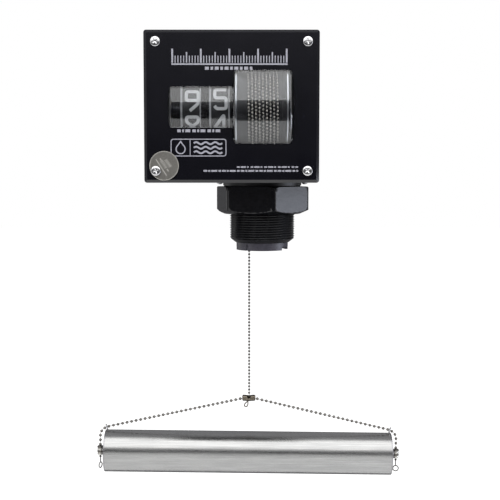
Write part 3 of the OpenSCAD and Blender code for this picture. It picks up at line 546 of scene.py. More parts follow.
def rounded(path: Path, radius: float, steps: int = 5) -> Path:
    """Rounds the corners of a path.

    Args:
        path: Corner points; the path is closed if it ends where it starts.
        radius: How far from each corner its curve begins.
        steps: Points on each curve.

    Returns:
        The rounded path.
    """
    most = 0.49     # share of a side that one curve may take up
    loop = path[0] == path[-1]
    corners = path[:-1] if loop else path
    count = len(corners)
    out: Path = []
    for i, corner in enumerate(corners):
        here = Vector(corner)
        if not loop and i in (0, count - 1):
            out.append(corner)
            continue
        before = Vector(corners[i - 1]) - here
        after = Vector(corners[(i + 1) % count]) - here
        reach = min(radius, before.length * most, after.length * most)
        start = here + before.normalized() * reach
        end = here + after.normalized() * reach
        for k in range(steps + 1):
            t = k / steps
            point = start * (1 - t) ** 2 + here * 2 * t * (1 - t) + end * t ** 2
            out.append((point.x, point.y))
    if loop:
        out.append(out[0])
    return out


def stroke(surface: Surface, path: Path, width: float, top: float, bottom: float,
           place: Callable[[float, float, float], Point], step: float = 1.2) -> None:
    """Lays a flat stroke of ink along a path.

    Args:
        surface: Piece that takes the stroke.
        path: Middle line of the stroke; it is closed if it ends where it starts.
        width: Width of the stroke.
        top: Height of the ink's face over the surface.
        bottom: Height of the ink's foot, which is below the surface.
        place: Turns a flat point and a height into a point in space.
        step: Longest stretch without a point, for surfaces that curve.
    """
    blunt = 0.5     # keeps a sharp corner from reaching out too far
    loop = path[0] == path[-1]
    points: list[Vector] = []
    for a, b in zip(path, path[1:]):
        start, end = Vector(a), Vector(b)
        parts = max(1, math.ceil((end - start).length / step))
        points.extend(start.lerp(end, k / parts) for k in range(parts))
    if not loop:
        points.append(Vector(path[-1]))
    count = len(points)
    rows = []
    for i, here in enumerate(points):
        before = points[i - 1] if i or loop else None
        after = points[(i + 1) % count] if i < count - 1 or loop else None
        inward = (here - before).normalized() if before is not None else None
        outward = (after - here).normalized() if after is not None else None
        if inward is None:
            along = outward
        elif outward is None:
            along = inward
        else:
            along = (inward + outward).normalized()
        spread = 1.0 if inward is None or outward is None else 1 / max(blunt, along.dot(outward))
        side = Vector((-along.y, along.x)) * width / 2 * spread
        left, right = here + side, here - side
        rows.append([place(left.x, left.y, bottom), place(left.x, left.y, top),
                     place(right.x, right.y, top), place(right.x, right.y, bottom)])
    surface.grid(rows, closed=loop, capped=not loop)


def tube(surface: Surface, path: Sequence[Vector], radius: float, sides: int = 12,
         closed: bool = False) -> None:
    """Sweeps a round wire along a path in space.

    Args:
        surface: Piece that takes the wire.
        path: Points of the wire's middle line.
        radius: Radius of the wire.
        sides: Points round the wire.
        closed: Joins the wire's end to its start.
    """
    count = len(path)
    rows = []
    up = Vector((0, 1, 0))
    for i, here in enumerate(path):
        before = path[i - 1] if i or closed else here
        after = path[(i + 1) % count] if i < count - 1 or closed else here
        along = (after - before).normalized()
        side = along.cross(up)
        side = side.normalized() if side.length > TINY else Vector((1, 0, 0))
        up = side.cross(along).normalized()
        rows.append([tuple(here + (side * c + up * s) * radius) for c, s in spokes(sides)])
    surface.grid(rows, closed=closed, capped=not closed)


@dataclass
class BeadChain:
    """Ball chain: hollow beads, each with a small hole at both ends, on thin links.

    hole_share is the radius of the holes and lip_share the depth of their lips, both as shares of the
    links' radius.
    """

    name: str
    bead_r: float
    link_r: float
    body: Body
    replaces: str
    finish: Finish
    sides: int = 16
    arcs: int = 10
    hole_share: float = 1.5
    lip_share: float = 0.35
    sharp: float = 60.0

    def build(self, beads: Sequence[Vector],
              across: Callable[[Vector], Vector] = lambda _bead: Vector((0, 1, 0))) -> None:
        """Strings the beads and makes the chain's mesh.

        Args:
            beads: Middle of each bead, in order.
            across: Gives a direction square to the chain at a bead.
        """
        hole = math.asin(min(1.0, self.hole_share * self.link_r / self.bead_r))
        arc = [hole + (math.pi - 2 * hole) * k / self.arcs for k in range(self.arcs + 1)]
        profile = [(-self.bead_r * math.cos(a), self.bead_r * math.sin(a)) for a in arc]
        lip = self.bead_r * math.cos(hole) - self.lip_share * self.link_r
        profile = [(-lip, self.link_r)] + profile + [(lip, self.link_r)]
        round_it = spokes(self.sides, 0.5)
        rows = []
        for i, bead in enumerate(beads):
            along = (beads[min(i + 1, len(beads) - 1)] - beads[max(i - 1, 0)]).normalized()
            out = across(bead)
            out = (out - along * out.dot(along)).normalized()
            side = along.cross(out)
            for shift, radius in profile:
                centre = bead + along * shift
                rows.append([tuple(centre + (out * c + side * s) * radius) for c, s in round_it])
        surface = Surface()
        surface.grid(rows, capped=True)
        surface.piece(self.name, self.finish, self.body, self.sharp, (self.replaces,))


@dataclass
class FloatPlaces:
    """Places on the float, which hangs a little out of level."""

    roll: float = 0.69
    barrel_gap: float = 4.95
    barrel_h: float = 8.8
    barrel_lead: float = 3.2
    barrel_mouth: float = 3.0
    coupling_l: float = 12.5
    coupling_r: float = 2.9
    coupling_mouth: float = 2.4
    # bends of a bridle, out from the float's end and up from its top: before, in and after the guide eye
    bends: tuple[Flat, ...] = ((-5.5, 4.3), (-1.2, 3.1), (2.8, 0.9))
    radius: float = field(init=False)
    length: float = field(init=False)
    middle: Vector = field(init=False)
    coupling: Vector = field(init=False)
    turn: Matrix = field(init=False)

    def __post_init__(self) -> None:
        """Takes the float's size and place from the frame."""
        low, high = box_mm("float_tube")
        self.middle = (low + high) / 2
        self.radius = (high.y - low.y) / 2
        roll = math.radians(self.roll)
        self.turn = Matrix.Rotation(roll, 3, "Y")
        width = box_mm("end_cap_right")[1].x - box_mm("end_cap_left")[0].x
        self.length = (width - 2 * self.radius * math.sin(roll)) / math.cos(roll)
        low, high = box_mm("chain_coupling")
        self.coupling = Vector(((low.x + high.x) / 2, 0, high.z - self.coupling_r))

    def place(self, point: Sequence[float]) -> Vector:
        """Carries a point drawn about the float's middle to its true place."""
        return self.middle + self.turn @ Vector(point)

    def rolled(self, rows: Sequence[Sequence[Point]]) -> list[list[Point]]:
        """Carries rows drawn about the float's middle to their true place."""
        return [[tuple(self.place(point)) for point in row] for row in rows]

    def beads(self, side: Side, pitch: float) -> list[Vector]:
        """Places of one bridle's beads.

        Args:
            side: Side of the bridle.
            pitch: Distance between beads.

        Returns:
            Middle of each bead, from the coupling to the barrel.
        """
        way = side.value
        start = self.coupling + Vector((way * (self.coupling_l / 2 - self.coupling_mouth), 0, 0))
        half = self.length / 2
        corner = [(half + out, self.radius + up) for out, up in self.bends]
        corner += [(half + self.barrel_gap, self.radius - self.barrel_lead),
                   (half + self.barrel_gap, self.barrel_h / 2 - self.barrel_mouth)]
        route = [start] + [self.place((way * x, 0, z)) for x, z in corner]
        lengths = [(b - a).length for a, b in zip(route, route[1:])]
        count = round(sum(lengths) / pitch)
        step = sum(lengths) / count
        beads = []
        for i in range(count + 1):
            rest = i * step
            leg = 0
            while leg < len(lengths) - 1 and rest > lengths[leg]:
                rest -= lengths[leg]
                leg += 1
            beads.append(route[leg].lerp(route[leg + 1], rest / lengths[leg]))
        return beads


@dataclass
class Chains:
    """The chain wound on the drum, the one that hangs, and the float's bridle."""

    places: FloatPlaces
    small_bead_d: float = 2.4
    small_pitch: float = 3.07
    small_link_r: float = 0.16
    waist: float = 0.9
    wrap_pitch: float = 3.1
    start_share: float = 0.62
    hang_x: float = -12.2
    lean_low_z: float = -28.0
    lean_high_z: float = 25.0
    bridle_bead_d: float = 3.2
    bridle_pitch: float = 4.38
    bridle_link_r: float = 0.22
    bridle_waist: float = 0.86

    def build(self) -> None:
        """Makes all four chains."""
        self.wound()
        self.hanging()
        for side in Side:
            # the bridle's nickel is painted darker as shade
            chain = BeadChain("bridle_beads_" + side.label, self.bridle_bead_d / 2 * self.bridle_waist,
                              self.bridle_link_r, Body.FLOAT, "bridle_chain_" + side.label, BRIDLE_NICKEL)
            chain.build(self.places.beads(side, self.bridle_pitch))

    def wound(self) -> None:
        """Makes the turns on the drum, from the leaving point over the top and forwards."""
        low, high = box_mm("wound_chain")
        _, axis_y, axis_z = DRUM_AXIS
        bead_r = self.small_bead_d / 2
        radius = (high.z - low.z) / 2 - bead_r
        first_x = low.x + bead_r
        turns = (high.x - bead_r - first_x) / self.wrap_pitch
        step = self.small_pitch / radius
        start = self.start_share * step
        beads = []
        for i in range(int((turns * 2 * math.pi - start) / step) + 1):
            angle = start + i * step
            beads.append(Vector((first_x + self.wrap_pitch * (angle - start) / (2 * math.pi),
                                 axis_y + radius * math.cos(angle),
                                 axis_z + radius * math.sin(angle))))
        chain = BeadChain("wound_beads", bead_r * self.waist, self.small_link_r, Body.DRUM,
                          "wound_chain", CHAIN_NICKEL, sides=10, arcs=6)
        chain.build(beads, lambda bead: Vector((0, bead.y - axis_y, bead.z - axis_z)))

    def hanging(self) -> None:
        """Makes the chain from the coupling up to the drum, which leans over inside the nipple."""
        low, high = box_mm("hanging_chain")
        bead_r = self.small_bead_d / 2
        foot = low.z + bead_r
        lead_x = low.x + bead_r
        count = round((high.z - bead_r - foot) / self.small_pitch)
        lean_low = math.ceil((self.lean_low_z - foot) / self.small_pitch)
        lean_high = math.floor((self.lean_high_z - foot) / self.small_pitch)
        beads = []
        for i in range(count + 1):
            t = min(max((i - lean_low) / (lean_high - lean_low), 0), 1)
            beads.append(Vector((self.hang_x + (lead_x - self.hang_x) * t, 0,
                                 foot + i * self.small_pitch)))
        # the hanging chain's darker nickel is painted shade
        chain = BeadChain("hanging_beads", bead_r * self.waist, self.small_link_r, Body.HOIST,
                          "hanging_chain", SHADED_NICKEL)
        chain.build(beads)


# Middle lines of the digits in a box one wide and one high, square-shouldered and drawn low to high.
DIGITS: dict[int, list[Path]] = {
    0: [[(0.5, 1), (0, 1), (0, 0), (1, 0), (1, 1), (0.5, 1)]],
    1: [[(0.22, 0.78), (0.58, 1), (0.58, 0)]],
    2: [[(0.02, 0.84), (0.14, 1), (1, 1), (1, 0.58), (0, 0.02), (1, 0.02)]],
    3: [[(0.03, 0.86), (0.16, 1), (1, 1), (1, 0.55), (0.36, 0.55)],
        [(0.7, 0.55), (1, 0.5), (1, 0), (0.16, 0), (0.03, 0.14)]],
    4: [[(0.8, 0), (0.8, 1), (0, 0.3), (1.02, 0.3)]],
    5: [[(1, 1), (0.04, 1), (0.04, 0.56), (1, 0.56), (1, 0), (0.2, 0), (0.02, 0.14)]],
    6: [[(0.7, 1), (0, 0.64), (0, 0), (1, 0), (1, 0.47), (0.02, 0.47)]],
    7: [[(0, 1), (1, 1), (0.36, 0)]],
    8: [[(0.5, 0.5), (0, 0.74), (0, 1), (1, 1), (1, 0.74), (0.5, 0.5)],
        [(0.5, 0.5), (0, 0.26), (0, 0), (1, 0), (1, 0.26), (0.5, 0.5)]],
    9: [[(0.3, 0), (1, 0.36), (1, 1), (0, 1), (0, 0.53), (0.98, 0.53)]],
}


@dataclass
class NumberWheel:
    """Print on one number wheel: ten digits, and a pale line round each lip.

    shown is the digit that faces the front, rise its angle over the front in degrees, and shift how far
    right of the wheel's middle the digits stand.
    """

    node: str
    body: Body
    shown: int
    rise: float
    shift: float = 0.7
    wheel_w: float = 17.5
    digit_w: float = 10.15
    digit_h: float = 16.4
    digit_step: float = 36.0
    line_w: float = 2.75
    corner: float = 1.9
    wide_line: float = 1.6
    thin_line: float = 0.9
    lip_h: float = 0.4
    lip_w: float = 0.8
    ink: float = 0.1
    root: float = 0.2
    around: int = 120
    left: float = field(init=False)
    radius: float = field(init=False)

    def __post_init__(self) -> None:
        """Takes the wheel's size and place from the frame."""
        low, high = box_mm(self.node)
        self.left = low.x if self.body is Body.TENS else high.x - self.wheel_w
        self.radius = (high.z - low.z) / 2 - self.lip_h

    def place(self, u: float, v: float, height: float) -> Point:
        """Puts a flat point of the print on the wheel's rim.

        Args:
            u: Place to the right of the digits' middle.
            v: Place along the rim, upwards from the front.
            height: Height over the rim.

        Returns:
            The point in space.
        """
        middle = self.left + self.wheel_w / 2 + self.shift
        angle = v / self.radius
        reach = self.radius + height
        return (middle + u, DRUM_AXIS[1] - reach * math.cos(angle),
                DRUM_AXIS[2] + reach * math.sin(angle))

    def build(self) -> None:
        """Prints the digits and paints the lips."""
        digits = Surface()
        for value, strokes in DIGITS.items():
            turn = math.radians(self.rise) + (value - self.shown) * math.radians(self.digit_step)
            centre = turn * self.radius
            for path in strokes:
                flat = [((x - 0.5) * self.digit_w, (y - 0.5) * self.digit_h + centre) for x, y in path]
                stroke(digits, rounded(flat, self.corner), self.line_w, self.ink, -self.root, self.place)
        digits.piece(self.node + "_digits", DIGIT_INK, self.body)

        lines = Surface()
        lip = self.radius + self.lip_h + self.ink
        rim = self.radius + self.ink
        foot = self.radius - self.root
        right = self.left + self.wheel_w
        for edge, width, way in ((self.left, self.wide_line, 1), (right, self.thin_line, -1)):
            inner = edge + way * (self.lip_w + self.ink)
            end = edge + way * max(width, self.lip_w + 2 * self.ink)
            profile = [(edge, foot), (edge, lip), (inner, lip), (inner, rim), (end, rim), (end, foot)]
            lines.grid(turned(Axis.X, (0, *DRUM_AXIS[1:]), profile, self.around), closed=True)
        lines.piece(self.node + "_lip_lines", LIP_INK, self.body)


@dataclass
class CoverPrint:
    """Something printed on the cover's flat face. Each kind of print draws its own strokes."""

    name: str
    ink: float = 0.05
    root: float = 0.2
    face: float = field(init=False)
    surface: Surface = field(init=False)

    def __post_init__(self) -> None:
        """Finds the cover's face and starts with a clean print."""
        self.face = box_mm("front_cover")[0].y
        self.surface = Surface()

    def place(self, u: float, v: float, height: float) -> Point:
        """Puts a flat point of the print on the cover's face."""
        return (u, self.face - height, v)

    def lay(self, path: Path, width: float) -> None:
        """Prints one stroke."""
        stroke(self.surface, path, width, self.ink, -self.root, self.place, step=UNBENT)

    def draw(self) -> None:
        """Lays the print's strokes."""
        raise NotImplementedError

    def build(self) -> None:
        """Draws the print and makes its piece."""
        self.draw()
        self.surface.piece(self.name, PRINT_INK, Body.HOUSING)


@dataclass
class PrintedScale(CoverPrint):
    """Graduated scale along the top of the cover."""

    left: float = -78.0
    right: float = 20.0
    low: float = 131.0
    high: float = 144.0
    step: float = 2.45
    gap: float = 1.2
    base_w: float = 1.3
    base_over: float = 0.75
    # how often each kind of mark comes, its share of the height, and its width
    marks: tuple[tuple[int, float, float], ...] = ((10, 1.0, 1.5), (5, 0.78, 1.1), (1, 0.55, 0.8))

    def draw(self) -> None:
        """Draws the marks, and the line that they stand on."""
        for i in range(round((self.right - self.left) / self.step) + 1):
            x = self.left + i * self.step
            share, width = next(mark[1:] for mark in self.marks if i % mark[0] == 0)
            top = self.low + (self.high - self.low) * share
            self.lay([(x, self.low + self.gap), (x, top)], width)
        self.lay([(self.left - self.base_over, self.low), (self.right + self.base_over, self.low)],
                 self.base_w)


@dataclass(frozen=True)
class Rule:
    """One dashed rule: its ends, height and width, and its dash and gap lengths in turn."""

    left: float
    right: float
    height: float
    width: float
    lengths: tuple[float, ...]


@dataclass
class DashedRules(CoverPrint):
    """Dashed rules: under the scale, under the wheels and two at the cover's foot."""

    rules: tuple[Rule, ...] = (
        Rule(-50.0, -9.0, 127.5, 2.6, (3.4, 1.4, 2.2, 1.4)),
        Rule(-74.0, -37.0, 74.2, 2.4, (3.0, 1.2, 1.6, 1.2, 4.2, 1.8)),
        Rule(-22.7, 30.2, 43.1, 1.3, (2.4, 0.8, 4.6, 0.8, 1.6, 1.6)),
        Rule(-51.5, 30.2, 39.8, 1.5, (3.2, 0.8, 1.8, 0.8, 5.2, 1.0, 2.4, 0.8)))

    def draw(self) -> None:
        """Draws the rules dash by dash."""
        for rule in self.rules:
            x, i = rule.left, 0
            while x < rule.right:
                end = min(x + rule.lengths[i % len(rule.lengths)], rule.right)
                if i % 2 == 0:
                    self.lay([(x, rule.height), (end, rule.height)], rule.width)
                x, i = end, i + 1


@dataclass
class LevelBadge(CoverPrint):
    """Framed pictogram: a drop, and a liquid's ripples beside it."""

    left: float = -79.4
    right: float = -32.1
    low: float = 52.6
    high: float = 67.0
    divider_x: float = -63.0
    divider_w: float = 0.6
    border_w: float = 0.8
    corner: float = 2.4
    corner_steps: int = 8
    drop_r: float = 3.9
    drop_tip: float = 6.6
    drop_sink: float = 1.3
    drop_start: float = 40.0
    drop_sweep: float = 260.0
    drop_steps: int = 24
    drop_w: float = 1.0
    waves: int = 3
    wave_inset: float = 3.2
    wave_top: float = 3.4
    wave_gap: float = 3.9
    wave_h: float = 0.9
    wave_turns: int = 3
    wave_steps: int = 48
    wave_w: float = 1.5

    def draw(self) -> None:
        """Draws the frame, the drop and the ripples."""
        left, right, low, high = self.left, self.right, self.low, self.high
        border = [(left, low), (right, low), (right, high), (left, high), (left, low)]
        self.lay(rounded(border, self.corner, self.corner_steps), self.border_w)
        self.lay([(self.divider_x, low), (self.divider_x, high)], self.divider_w)
        x = (left + self.divider_x) / 2
        z = (low + high) / 2 - self.drop_sink
        drop = [(x, z + self.drop_tip)]
        for k in range(self.drop_steps + 1):
            angle = math.radians(self.drop_start - self.drop_sweep * k / self.drop_steps)
            drop.append((x + self.drop_r * math.cos(angle), z + self.drop_r * math.sin(angle)))
        self.lay(drop + drop[:1], self.drop_w)
        start, end = self.divider_x + self.wave_inset, right - self.wave_inset
        for row in range(self.waves):
            base = high - self.wave_top - row * self.wave_gap
            shares = [k / self.wave_steps for k in range(self.wave_steps + 1)]
            self.lay([(start + (end - start) * t,
                       base + self.wave_h * math.sin(2 * math.pi * self.wave_turns * t))
                      for t in shares], self.wave_w)


@dataclass
class Nipple:
    """Hexagon nipple with a helical pipe thread, moulded in one piece."""

    across_flats: float = 77.8
    flat_turn: float = 13.5
    corner_round: float = 0.8
    foot_chamfer: float = 3.8
    foot_slope: float = 5.6
    foot_land: float = 1.2
    top_chamfer: float = 0.9
    top_slope: float = 2.2
    top_land: float = 4.5
    clip: float = 0.7
    thread_r: float = 30.2
    thread_l: float = 22.7
    thread_pitch: float = 2.209
    thread_depth: float = 1.5
    crest_round: float = 0.16
    lead_in_l: float = 4.0
    lead_foot_r: float = 25.05
    bore_r: float = 24.3
    bore_chamfer: float = 0.3
    spigot_r: float = 26.75
    hex_h: float = 25.2
    around: int = 240
    cone_rows: int = 8
    side_rows: int = 6
    thread_row: float = 0.138
    sharp: float = 45.0

    def hexagon(self, angle: float) -> float:
        """Radius of the rounded hexagon.

        Args:
            angle: Direction from the nipple's axis, in radians.

        Returns:
            Distance from the axis to the hexagon's side.
        """
        third = math.pi / 3
        off = (angle - math.radians(self.flat_turn) + third / 2) % third - third / 2
        flat = self.across_flats / 2
        # the corner's arc has its middle on the line to the corner, 30 degrees from the flat's own
        middle = (flat - self.corner_round) / math.cos(third / 2)
        reach = math.atan2(middle * math.sin(third / 2), flat)
        if abs(off) <= reach:
            return flat / math.cos(off)
        turn = third / 2 - abs(off)
        chord = middle * math.sin(turn)
        return middle * math.cos(turn) + math.sqrt(self.corner_round ** 2 - chord ** 2)

    def thread(self, angle: float, z: float) -> float:
        """Radius of the thread: a right-hand helix that fades out at its lead-in.

        Args:
            angle: Direction from the nipple's axis, in radians.
            z: Height below the hexagon, negative.

        Returns:
            Distance from the axis to the thread's surface.
        """
        turn = z / self.thread_pitch - angle / (2 * math.pi)
        # 0 at the crest and 1 at the root, with straight flanks and a narrow round crest
        down = abs(2 * (turn % 1) - 1)
        share = math.hypot(down, self.crest_round) - self.crest_round
        radius = self.thread_r - self.thread_depth * share
        if z < -self.thread_l:
            t = (-self.thread_l - z) / self.lead_in_l
            cone = self.thread_r + (self.lead_foot_r - self.thread_r) * t
            radius = min(radius, cone)
        return radius

    def row(self, height: float, radius: Callable[[float], float]) -> list[Point]:
        """Makes one row of points round the axis.

        Args:
            height: Height of the row.
            radius: Gives the radius in each direction.

        Returns:
            The row's points.
        """
        points = []
        for i in range(self.around):
            angle = 2 * math.pi * i / self.around
            r = radius(angle)
            points.append((r * math.cos(angle), r * math.sin(angle), height))
        return points

    def build(self) -> None:
        """Makes the nipple as one closed skin, from the top of its bore outside round to its foot."""
        top = box_mm("hex_nipple")[1].z
        foot = -self.thread_l - self.lead_in_l
        corner = self.across_flats / 2 / math.cos(math.pi / 6)
        rim = corner - self.clip
        shoulder = self.hex_h - self.top_chamfer

        def plain(height: float, radius: float) -> list[Point]:
            """One round row."""
            return self.row(height, lambda _angle: radius)

        def cut(height: float, cone: float) -> list[Point]:
            """One row of the hexagon, its corners cut back to a radius."""
            return self.row(height, lambda angle: min(self.hexagon(angle), cone))

        rows = [plain(top, self.bore_r), plain(top, self.spigot_r), plain(self.hex_h, self.spigot_r),
                plain(self.hex_h, corner - self.top_slope - self.top_land)]
        shares = [k / self.cone_rows for k in range(self.cone_rows + 1)]
        rows += [cut(self.hex_h - self.top_chamfer * t,
                     corner - self.top_slope + (self.top_slope - self.clip) * t) for t in shares]
        rows += [cut(shoulder + (self.foot_chamfer - shoulder) * k / self.side_rows, rim)
                 for k in range(1, self.side_rows)]
        rows += [cut(self.foot_chamfer * (1 - t),
                     rim - (self.foot_chamfer + self.foot_slope - self.clip) * t) for t in shares]
        rows.append(plain(0.0, self.thread_r + self.foot_land))
        count = round((self.thread_l + self.lead_in_l) / self.thread_row)
        for k in range(count + 1):
            z = foot * k / count
            rows.append(self.row(z, lambda angle, z=z: self.thread(angle, z)))
        rows += [plain(foot, self.bore_r + self.bore_chamfer),
                 plain(foot + self.bore_chamfer, self.bore_r)]
        surface = Surface()
        surface.grid(rows, closed=True)
        surface.piece("threaded_nipple", NIPPLE_BLACK, Body.HOUSING, self.sharp, ("hex_nipple",))


@dataclass
class PanScrew:
    """Pan-head machine screw with a crossed recess, turned by some degrees."""

    turn: float
    head_r: float = 4.25
    head_h: float = 2.4
    edge_share: float = 0.62
    fullness: float = 2.6
    under_round: float = 0.18
    shank_r: float = 2.0
    shank_l: float = 24.0
    point: float = 0.8
    recess_reach: float = 2.45
    recess_w: float = 1.05
    recess_depth: float = 1.7
    recess_least: float = 0.25
    recess_rise: float = 0.75
    recess_curve: float = 1.5
    recess_soft: float = 0.12
    around: int = 96
    rings: int = 34

    def inside(self, distance: float, edge: float) -> float:
        """One inside the recess, zero outside, and a soft step at its edge."""
        return min(max((edge + self.recess_soft - distance) / (2 * self.recess_soft), 0), 1)

    def height(self, x: float, z: float) -> float:
        """Height of the head over its underside.

        Args:
            x: Sideways place on the head.
            z: Upward place on the head.

        Returns:
            Height of the head's face there, with the recess taken out.
        """
        share = min(math.hypot(x, z) / self.head_r, 1.0)
        bulge = (1 - self.edge_share) * math.sqrt(1 - share ** self.fullness)
        angle = math.radians(self.turn)
        u = abs(x * math.cos(angle) + z * math.sin(angle))
        v = abs(z * math.cos(angle) - x * math.sin(angle))
        reach, across = max(u, v), min(u, v)
        cut = self.inside(across, self.recess_w / 2) * self.inside(reach, self.recess_reach)
        rise = self.recess_rise * (reach / self.recess_reach) ** self.recess_curve
        depth = max(self.recess_depth * (1 - rise), self.recess_least)
        return self.head_h * (self.edge_share + bulge) - cut * depth

    def add(self, surface: Surface, x: float, under: float, z: float) -> None:
        """Adds the screw to a piece.

        Args:
            surface: Piece that takes the screw.
            x: Sideways place of the screw.
            under: Depth of the head's underside; the screw points to +Y.
            z: Height of the screw.
        """
        rows = []
        for k in range(self.rings + 1):
            radius = max(self.head_r * k / self.rings, CENTRE_R)
            places = [(radius * c, radius * s) for c, s in spokes(self.around)]
            rows.append([(x + u, under - self.height(u, v), z + v) for u, v in places])
        profile = [(-self.under_round, self.head_r), (0.0, self.head_r - self.under_round),
                   (0.0, self.shank_r), (self.shank_l - self.point, self.shank_r),
                   (self.shank_l, self.shank_r - self.point)]
        rows += turned(Axis.Y, (x, under, z), profile, self.around)
        surface.grid(rows, capped=True)


@dataclass
class Fasteners:
    """The four screws of the cover. turns is how far each one was driven round, in degrees."""

    inset: float = 10.3
    turns: tuple[float, float, float, float] = (35.0, 10.0, 40.0, 20.0)

    def build(self) -> None:
        """Makes the three plain cover screws and the one that holds the tag."""
        low, high = box_mm("front_cover")
        left, right = low.x + self.inset, high.x - self.inset
        foot, top = low.z + self.inset, high.z - self.inset
        plain = Surface()
        for turn, x, z in zip(self.turns, (left, right, right), (top, top, foot)):
            PanScrew(turn).add(plain, x, low.y, z)
        plain.piece("cover_pan_screws", SCREW_STEEL, Body.HOUSING, replaces=("cover_screws",))
        held = Surface()
        screw = PanScrew(self.turns[-1])
        screw.add(held, left, box_mm("tag_screw")[0].y + screw.head_h, foot)
        held.piece("tag_pan_screw", SCREW_STEEL, Body.HOUSING, replaces=("tag_screw",))


@dataclass
class Tag:
    """Stamped tag disc: a rolled rim, plain bars and rows of slanted ticks."""

    slant: float = -57.0
    ink: float = 0.05
    rim_w: float = 0.5
    rim_share: float = 0.965
    rim_steps: int = 72
    # height, both ends and width of each bar
    bars: tuple[tuple[float, float, float, float], ...] = (
        (4.2, -3.6, 3.4, 1.2), (0.6, -7.2, -3.0, 1.1), (0.6, -1.6, 2.2, 1.1), (0.6, 3.6, 6.2, 1.1),
        (-2.8, -8.6, 8.4, 0.8))
    ticks: int = 7
    tick_left: float = -3.6
    tick_gap: float = 1.15
    tick_lean: float = 0.35
    tick_w: float = 0.55
    # sideways shift, foot and top of each row of ticks
    tick_rows: tuple[Point, ...] = ((0.0, 2.6, 5.6), (-1.2, -0.9, 2.0))

    def build(self) -> None:
        """Strikes the marks on the disc."""
        low, high = box_mm("tag_disc")
        middle = (low + high) / 2
        radius = (high.x - low.x) / 2 * self.rim_share
        cos, sin = math.cos(math.radians(self.slant)), math.sin(math.radians(self.slant))
        surface = Surface()

        def on_tag(u: float, v: float, height: float) -> Point:
            """Puts a flat point of the stamping on the slanted disc."""
            return (middle.x + u * cos - v * sin, low.y - height, middle.z + u * sin + v * cos)

        def strike(path: Path, width: float) -> None:
            """Strikes one mark."""
            stroke(surface, path, width, self.ink, -self.ink, on_tag, step=UNBENT)

        circle = [(radius * c, radius * s) for c, s in spokes(self.rim_steps)]
        strike(circle + circle[:1], self.rim_w)
        for v, start, end, width in self.bars:
            strike([(start, v), (end, v)], width)
        for k in range(self.ticks):
            for shift, foot, top in self.tick_rows:
                u = self.tick_left + k * self.tick_gap + shift
                strike([(u, foot), (u + self.tick_lean, top)], self.tick_w)
        surface.piece("etched_marks", ETCHED_STEEL, Body.TAG)


@dataclass
class FloatTube:
    """The float: a brushed tube with a welded cap at each end."""

    places: FloatPlaces
    wall: float = 1.2
    cap_t: float = 1.5
    cap_round: float = 0.35
    round_steps: int = 6
    seam_at: float = 3.3
    seam_w: float = 0.5
    seam_depth: float = 0.05
    guard: float = 0.06
    lip: float = 4.0
    spigot_gap: float = 0.05
    dish: float = 0.5
    dish_rim: float = 2.4
    boss_r: float = 2.4
    boss_foot_r: float = 3.0
    steps: int = 160

    def build(self) -> None:
        """Makes the tube and its two caps."""
        self.tube_piece()
        for side in Side:
            self.cap_piece(side)

    def tube_piece(self) -> None:
        """Makes the tube, with a shallow groove beside each cap."""
        radius = self.places.radius
        end = self.places.length / 2 - self.cap_t
        groove = self.places.length / 2 - self.seam_at
        half = [(groove - self.seam_w - self.guard, radius), (groove - self.seam_w, radius),
                (groove - self.seam_w / 2, radius - self.seam_depth), (groove, radius),
                (groove + self.guard, radius), (end, radius)]
        inner = radius - self.wall
        profile = [(-x, r) for x, r in reversed(half)] + half + [(end, inner), (-end, inner)]
        surface = Surface()
        surface.grid(self.places.rolled(turned(Axis.X, (0, 0, 0), profile, self.steps)), closed=True)
        surface.piece("brushed_tube", FLOAT_STEEL, Body.FLOAT, replaces=("float_tube",))

    def cap_piece(self, side: Side) -> None:
        """Makes one cap: a dished disc with a rounded rim, and a spigot inside the tube.

        Args:
            side: End that the cap closes.
        """
        radius = self.places.radius
        outer = self.places.length / 2
        seat = outer - self.cap_t
        inner = seat - self.lip
        spigot = radius - self.wall - self.spigot_gap
        profile = [(seat, radius), (outer - self.cap_round - self.guard, radius)]
        for k in range(self.round_steps + 1):
            angle = math.radians(90 * k / self.round_steps)
            profile.append((outer - self.cap_round + self.cap_round * math.sin(angle),
                            radius - self.cap_round + self.cap_round * math.cos(angle)))
        profile += [(outer - self.dish, radius - self.dish_rim), (outer - self.dish, self.boss_foot_r),
                    (outer, self.boss_r), (outer, CENTRE_R), (seat, CENTRE_R),
                    (seat, spigot - self.wall), (inner, spigot - self.wall), (inner, spigot),
                    (seat, spigot)]
        surface = Surface()
        rows = turned(Axis.X, (0, 0, 0), [(side.value * x, r) for x, r in profile], self.steps)
        surface.grid(self.places.rolled(rows), closed=True)
        surface.piece("dished_cap_" + side.label, WELD_STEEL, Body.FLOAT,
                      replaces=("end_cap_" + side.label,))


